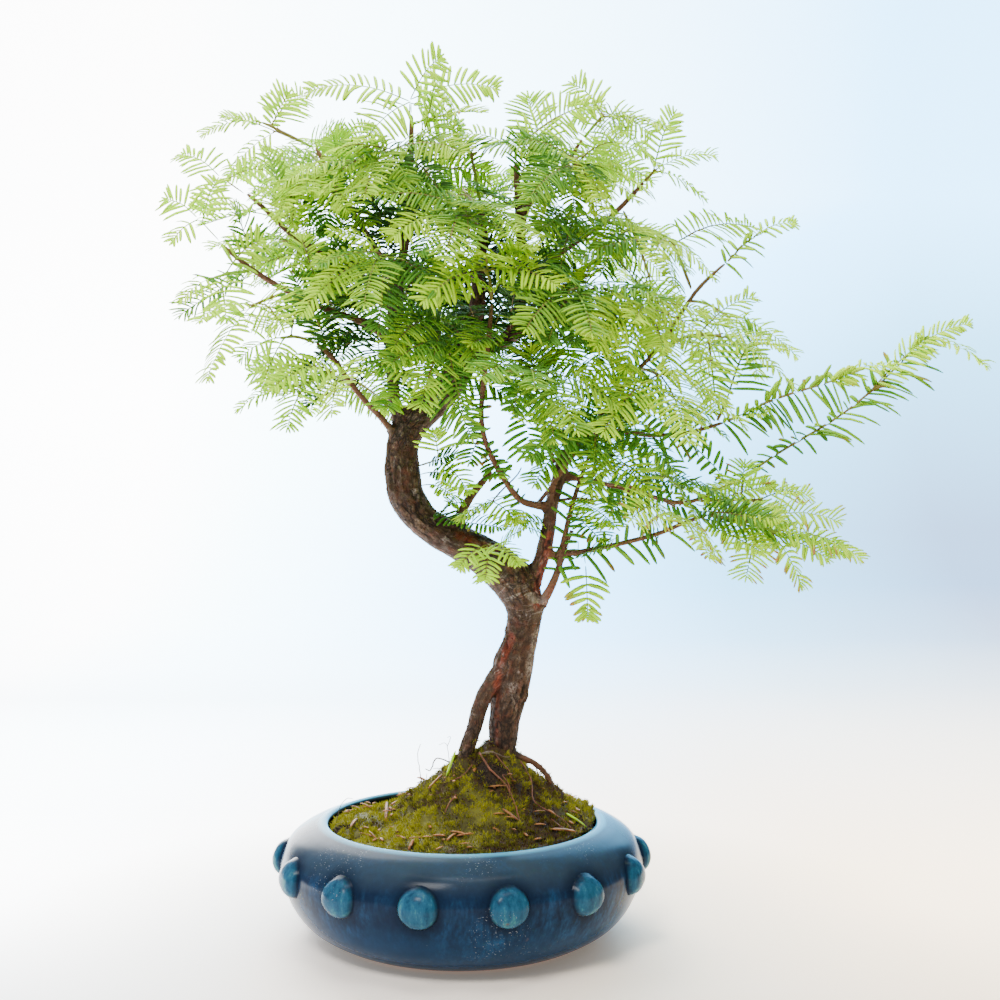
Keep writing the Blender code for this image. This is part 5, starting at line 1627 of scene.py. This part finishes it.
def grow_scatter(name, shape, places, aims, sizes, shades, material):
    """Set a small closed shape, a leaf or a grain, on every place, as one plain mesh."""
    mesh = mesh_of(name, places.tolist())
    for key, values in (("aim", aims), ("size", sizes), ("shade", shades)):
        store(mesh, key, values)
    growth = Growth(name, Scale=1.0, Material=material)
    if shape == "LEAF":
        form = growth.add("GeometryNodeMeshCone", {
            "Vertices": 3, "Side Segments": 1, "Radius Top": 0.0, "Radius Bottom": 0.5, "Depth": 1.0},
            fill_type="NGON")
    else:
        form = growth.add("GeometryNodeMeshIcoSphere", {"Radius": 0.5, "Subdivisions": 1})
    place = growth.add("GeometryNodeInputPosition").outputs["Position"]
    leaf = growth.keep(form.outputs["Mesh"], "along", growth.split(place)["Z"])
    size = growth.add("ShaderNodeVectorMath", {
        0: growth.field("size"), "Scale": growth.given["Scale"]}, operation="SCALE")
    turn = growth.pointed(growth.field("aim"), "Z")
    return growth.grow(growth.set_out(leaf, turn, size.outputs["Vector"]), piece_of(name, mesh))


def moss_shade(place):
    """Return how fresh the moss is at a place: 0 brown, 1 bright."""
    x, y = place[:2]
    wide = noise.noise(Vector(place) * 38.0) * 0.75 + noise.noise(Vector(place) * 150.0) * 0.4
    fresh = 0.36 - 2.2 * (x - 0.01) + 6.0 * max(-0.05 - y, 0.0)
    return fresh + wide


def moss_material(name, settings, fine):
    """Return the moss: fresh, olive and brown by place, lighter towards the ends of its leaves and darker in
    the gaps, partly its own colour and partly painted shade.
    """
    paint = Paint(name)
    grain = paint.noise(700.0, 4.0, 0.6)
    fresh = paint.maths("ADD", paint.attribute("shade"), -0.65)
    fresh = paint.maths("MULTIPLY_ADD", grain, 1.3, fresh)
    if fine:
        # Leaves are painted lighter towards their ends: partly the moss's own fresh tips, partly painted
        # shade at their feet
        fresh = paint.maths("MULTIPLY_ADD", paint.attribute("along"), 0.34, fresh)
    colour = paint.ramp(fresh, (0.0, settings.soil), (0.16, settings.brown), (0.42, settings.olive),
                        (0.74, mixed(settings.olive, settings.bright, 0.5)), (1.0, settings.bright))
    if not fine:
        # The cover under the leaves is painted mostly soil-dark: the soil, with painted shade in the gaps
        colour = paint.blend(paint.ramp(grain, (0.0, 0.55), (1.0, 0.75)), colour, settings.soil)
    return paint.finish(colour, 0.75, 0.25)


def soil_material(settings):
    """Return the gritty soil."""
    paint = Paint("soil")
    grit = paint.noise(420.0, 6.0, 0.7)
    paint.bump(grit, 1.0, 0.001)
    return paint.finish(paint.ramp(grit, (0.35, darkened(settings.soil, 0.5)), (0.55, settings.soil),
                                   (0.75, mixed(settings.soil, settings.wire, 0.5))), 0.9)


def fibre_material(name, colour, dark):
    """Return the material of thin roots, dead twigs and dry needles."""
    paint = Paint(name)
    return paint.finish(paint.ramp(paint.noise(260.0, 5.0, 0.6), (0.35, dark), (0.62, colour)), 0.65)


def moss_cover(material):
    """Return the closed sheet of moss over the mound, with its shade at each vertex."""
    count = MOSS_RINGS * MOSS_SIDES
    vertices, shades = [], []
    for drop in (0.0, MOSS_THICK):
        for ring in range(1, MOSS_RINGS + 1):
            for x, y in circle(MOSS_RADIUS * ring / MOSS_RINGS, MOSS_SIDES):
                z = vertices[len(vertices) - count][2] if drop else ground_height(x, y)
                vertices.append((x, y, z - drop))
                shades.append(moss_shade((x, y, z)) * (1.0 - bareness(x, y)))
    faces = []
    rim = count - MOSS_SIDES
    afters = [(side + 1) % MOSS_SIDES for side in range(MOSS_SIDES)]
    for first, turned in ((0, 1), (count, -1)):
        for low in range(first, first + rim, MOSS_SIDES):
            high = low + MOSS_SIDES
            faces += [(low + side, high + side, high + after, low + after)[::turned]
                      for side, after in enumerate(afters)]
        faces.append(tuple(range(first, first + MOSS_SIDES))[::turned])
    faces += [(rim + side, count + rim + side, count + rim + after, rim + after)
              for side, after in enumerate(afters)]
    cover = piece_of("moss_cover", mesh_of("moss_cover", vertices, faces), material)
    store(cover.data, "shade", shades)
    return cover


def moss_wanted(places, normals):
    """Return how much moss each place on the cover wants."""
    bare = np.array([bareness(x, y) for x, y in places[:, :2]])
    tufted = np.array([min(max(0.6 + 1.1 * tuft_share(place), 0.08), 1.0) for place in places])
    return np.where(normals[:, 2] > 0.15, np.clip(1.05 - bare * 1.1, 0.0, 1.0) * tufted, 0.0)


def bark_moss_wanted(places, normals):
    """Return how much moss each place on the bark wants: only low down, less on the dry side."""
    wanted = np.zeros(len(places))
    for index in np.flatnonzero((places[:, 2] < 0.128) & (places[:, 2] > 0.07)):
        x, y, z = places[index]
        share = noise.noise(Vector((x, y, z)) * 120.0) + (0.113 - z) / 0.012
        share -= 1.2 if x > 0.024 and y < 0.004 else 0.0
        wanted[index] = min(max(share, 0.0), 1.0)
    return wanted


def grit_wanted(places, normals):
    """Return how much grit each place on the cover wants."""
    bare = np.array([bareness(x, y) for x, y in places[:, :2]])
    return np.where(normals[:, 2] > 0.15, bare + 0.02, 0.0)


def moss_leaves(settings, name, places, normals, material, rng):
    """Grow the small leaves of the moss at some places."""
    count = len(places)
    aims = normals + np.array((0.0, 0.0, 0.35)) + rng.normal(0.0, 0.42, places.shape)
    tufted = np.array([tuft_share(place) for place in places])
    tall = np.clip(0.75 + 0.8 * tufted, 0.35, 1.7) * rng.uniform(0.6, 1.3, count) * settings.tuft
    wide = rng.uniform(0.0006, 0.0011, count)
    # Tufts are painted lighter on their tops and darker in the gaps between them, as painted shade
    shades = np.array([moss_shade(place) for place in places]) + 0.5 * tufted + rng.normal(0.0, 0.12, count)
    sizes = np.stack([wide, wide * 0.7, tall], axis=1)
    leaves = grow_scatter(name, "LEAF", places - normals * 0.0004, aims, sizes, shades, material)
    finish_piece(leaves, "moss_green")


class BONSAI_OT_ground(bpy.types.Operator):
    """Lay the soil, the moss cover and its leaves, and grit in the bare places"""

    bl_idname = "bonsai.ground"
    bl_label = "Moss and Soil"

    def execute(self, context):
        settings = context.scene.bonsai_ground
        rng = np.random.default_rng(SEED)
        soil = soil_material(settings)
        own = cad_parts["soil"].data.materials
        own.clear()
        own.append(soil)
        cover = moss_cover(moss_material("moss_ground", settings, False))
        cover.data.shade_smooth()
        finish_piece(cover, "moss_green", "moss")
        leaf = moss_material("moss_leaf", settings, True)
        bark = context.scene.objects["bark"]
        for name, piece, count, wanted in (
                ("moss_leaves", cover, settings.tufts, moss_wanted),
                ("moss_on_bark", bark, settings.tufts // BARK_MOSS_SHARE, bark_moss_wanted)):
            places, normals = scatter(piece.data, count, wanted, rng)
            moss_leaves(settings, name, places, normals, leaf, rng)
        places, normals = scatter(cover.data, GRIT_COUNT, grit_wanted, rng)
        sizes = rng.uniform(0.0005, 0.0019, (len(places), 3))
        grit = grow_scatter("grit", "GRAIN", places, normals + rng.normal(0.0, 0.6, places.shape), sizes,
                            rng.random(len(places)), soil)
        finish_piece(grit, "soil_dark")
        return {"FINISHED"}


def strands(lines):
    """Return the mesh of thin roots or dead twigs that lie on the ground."""
    mesh = bmesh.new()
    for thick, thin, points in lines:
        line = [point + noise.noise_vector(point * 400.0) * 0.0005
                for point in smooth_line([above_ground(point) for point in points])]
        thin_tube(mesh, line, thick / 1000.0, thin / 1000.0, 6)
    return mesh


def fallen_needles(kind, rng):
    """Return the cloud of one kind of fallen needles: those listed one by one, and those that are strewn."""
    cloud = NeedleCloud()
    for start, end in FALLEN[kind]:
        start, end = above_ground(start), above_ground(end)
        cloud.add(start, end - start, Vector((0.0, -0.3, 1.0)).normalized(), 0.15, 0.75, 0.0)
    for _ in range(STREWN[kind]):
        angle, radius = rng.uniform(0.0, 2.0 * math.pi), STREWN_RADIUS * math.sqrt(rng.random())
        start = above_ground((1000.0 * radius * math.cos(angle), 1000.0 * radius * math.sin(angle), 1.4))
        reach = Vector((rng.gauss(0.0, 1.0), rng.gauss(0.0, 1.0), rng.uniform(-0.2, 0.35)))
        cloud.add(start, reach.normalized() * rng.uniform(0.003, 0.01), UP, 0.3, 0.5, 0.0)
    return cloud


class BONSAI_OT_litter(bpy.types.Operator):
    """Lay thin roots, dead twigs and fallen needles on the moss"""

    bl_idname = "bonsai.litter"
    bl_label = "Roots and Litter"

    def execute(self, context):
        settings, needles = context.scene.bonsai_ground, context.scene.bonsai_needles
        rng = random.Random(SEED)
        noise.seed_set(SEED)
        for name, kind, colour, lines in (("thin_roots", "thin_root", settings.root, ROOTLETS),
                                          ("thin_wires", "dead_twig", settings.wire, WIRES)):
            material = fibre_material(kind, colour, mixed(colour, settings.soil, 0.7))
            keep_tubes(strands(lines), name, material, "bark")
        dead = fibre_material("dead_needle", settings.dead, mixed(settings.dead, settings.soil, 0.6))
        for kind, material in (("green", needle_material(needles)), ("dead", dead)):
            cloud = fallen_needles(kind, rng)
            finish_piece(grow_needles(cloud, kind + "_litter", needles, material), "needles")
        return {"FINISHED"}


def area_light(name, place, aim, size, power, colour, mirrored):
    """Add a soft square light that looks at a place, seen in the glaze or not."""
    data = bpy.data.lights.new(name, "AREA")
    data.size = size
    data.energy = power
    data.color = colour
    light = in_scene(name, data)
    light.location = place
    light.visible_glossy = mirrored
    light.rotation_euler = (Vector(aim) - Vector(place)).to_track_quat("-Z", "Y").to_euler()


def backdrop_material(settings):
    """Return the glowing backdrop: a pale floor, white at the left and pale blue at the right above it, with
    a painted pool of light on the floor at the left and a painted shadow round the pot.
    """
    paint = Paint("backdrop")
    ramp, times = paint.ramp, paint.times
    x, y, z = paint.split(paint.places)
    across = paint.range_of(x, from_min=-0.7, from_max=0.9)
    high = ramp(paint.maths("MULTIPLY_ADD", y, 0.25, z),
                (0.03, 0.0), (0.12, 0.34), (0.26, 0.75), (0.38, 0.93), (0.52, 1.0))
    wall = ramp(times(across, ramp(z, (0.2, 1.0), (0.9, 0.5))),
                (0.0, WHITE), (0.15, (0.66, 0.88, 1.0)), (0.48, (0.17, 0.48, 0.8)),
                (0.72, mixed((0.1, 0.42, 0.66), settings.sky, 0.5)), (1.0, settings.sky))
    colour = paint.blend(high, ramp(across, (0.25, WHITE), (0.6, settings.floor)), wall)
    glow = ramp(paint.maths("MULTIPLY_ADD", y, 0.45, 0.08),
                (0.0, 0.0), (0.1, settings.floor_glow), (0.45, settings.back_glow), (1.0, 1.0))
    # A painted pool of light: the floor at the left glows up to 4.5 times brighter
    left = paint.maths("SUBTRACT", ramp(across, (0.2, 4.5), (0.5, 1.6)), 1.0)
    low = ramp(y, (0.0, 1.0), (0.3, 0.45), (0.9, 0.0))
    seen = ramp(times(paint.maths("ABSOLUTE", x), 0.5), (0.6, 1.0), (0.75, 0.0))
    # A painted shadow: the floor's glow fades to a tenth near the pot
    reach = paint.add("ShaderNodeVectorMath", {0: paint.places}, operation="LENGTH").outputs["Value"]
    lit = times(glow, paint.maths("MULTIPLY_ADD", left, low, 1.0),
                times(seen, ramp(reach, (0.08, 0.1), (0.3, 1.0))), settings.glow)
    feed(paint.shader.inputs["Emission Color"], colour)
    feed(paint.shader.inputs["Emission Strength"], lit)
    return paint.finish(colour, 0.8)


class BONSAI_OT_stage(bpy.types.Operator):
    """Set the floor, the backdrop, the lights and the camera"""

    bl_idname = "bonsai.stage"
    bl_label = "Stage"

    def execute(self, context):
        settings = context.scene.bonsai_stage
        vertices = [(x, y, z) for y, z in BACKDROP for x in (-4.0, 4.0)]
        faces = [(2 * i, 2 * i + 1, 2 * i + 3, 2 * i + 2) for i in range(len(BACKDROP) - 1)]
        backdrop = piece_of("backdrop", mesh_of("backdrop", vertices, faces), backdrop_material(settings))
        backdrop.data.shade_smooth()
        for light in LIGHTS:
            area_light(*light)
        world = bpy.data.worlds.new("studio")
        world.use_nodes = True
        background = world.node_tree.nodes["Background"]
        feed(background.inputs["Color"], WORLD_COLOUR)
        feed(background.inputs["Strength"], WORLD_STRENGTH)
        context.scene.world = world
        data = bpy.data.cameras.new("camera")
        data.sensor_width = 36.0
        data.lens = settings.lens
        camera = in_scene("camera", data)
        camera.location = (settings.side, -settings.distance, settings.height)
        camera.rotation_euler = (math.pi / 2.0, 0.0, 0.0)
        context.scene.camera = camera
        return {"FINISHED"}


class BONSAI_PT_panel(bpy.types.Panel):
    """Lists what the bonsai is made of"""

    bl_idname = "BONSAI_PT_panel"
    bl_label = "Dawn Redwood Bonsai"
    bl_space_type = "VIEW_3D"
    bl_region_type = "UI"
    bl_category = "Bonsai"

    def draw(self, context):
        for operator in OPERATORS:
            self.layout.operator(operator.bl_idname)
        for name in SETTINGS:
            box = self.layout.box()
            group = getattr(context.scene, name)
            for key in group.bl_rna.properties.keys():
                if key not in ("rna_type", "name"):
                    box.prop(group, key)


SETTINGS = {
    "bonsai_needles": NeedleSettings,
    "bonsai_wood": WoodSettings,
    "bonsai_pot": PotSettings,
    "bonsai_ground": GroundSettings,
    "bonsai_stage": StageSettings,
}
OPERATORS = (BONSAI_OT_pot, BONSAI_OT_wood, BONSAI_OT_ground, BONSAI_OT_litter, BONSAI_OT_sprays,
             BONSAI_OT_stage)


def register():
    """Register the settings, the operators and the panel."""
    for name, group in SETTINGS.items():
        bpy.utils.register_class(group)
        setattr(bpy.types.Scene, name, PointerProperty(type=group))
    for item in (*OPERATORS, BONSAI_PT_panel):
        bpy.utils.register_class(item)


def unregister():
    """Remove the panel, the operators and the settings."""
    for item in reversed((*OPERATORS, BONSAI_PT_panel)):
        bpy.utils.unregister_class(item)
    for name, group in SETTINGS.items():
        delattr(bpy.types.Scene, name)
        bpy.utils.unregister_class(group)


def main():
    """Register the add-on and make every piece in order."""
    register()
    bpy.ops.bonsai.pot()
    bpy.ops.bonsai.wood()
    bpy.ops.bonsai.ground()
    bpy.ops.bonsai.litter()
    bpy.ops.bonsai.sprays()
    bpy.ops.bonsai.stage()


if __name__ == "__main__":
    main()
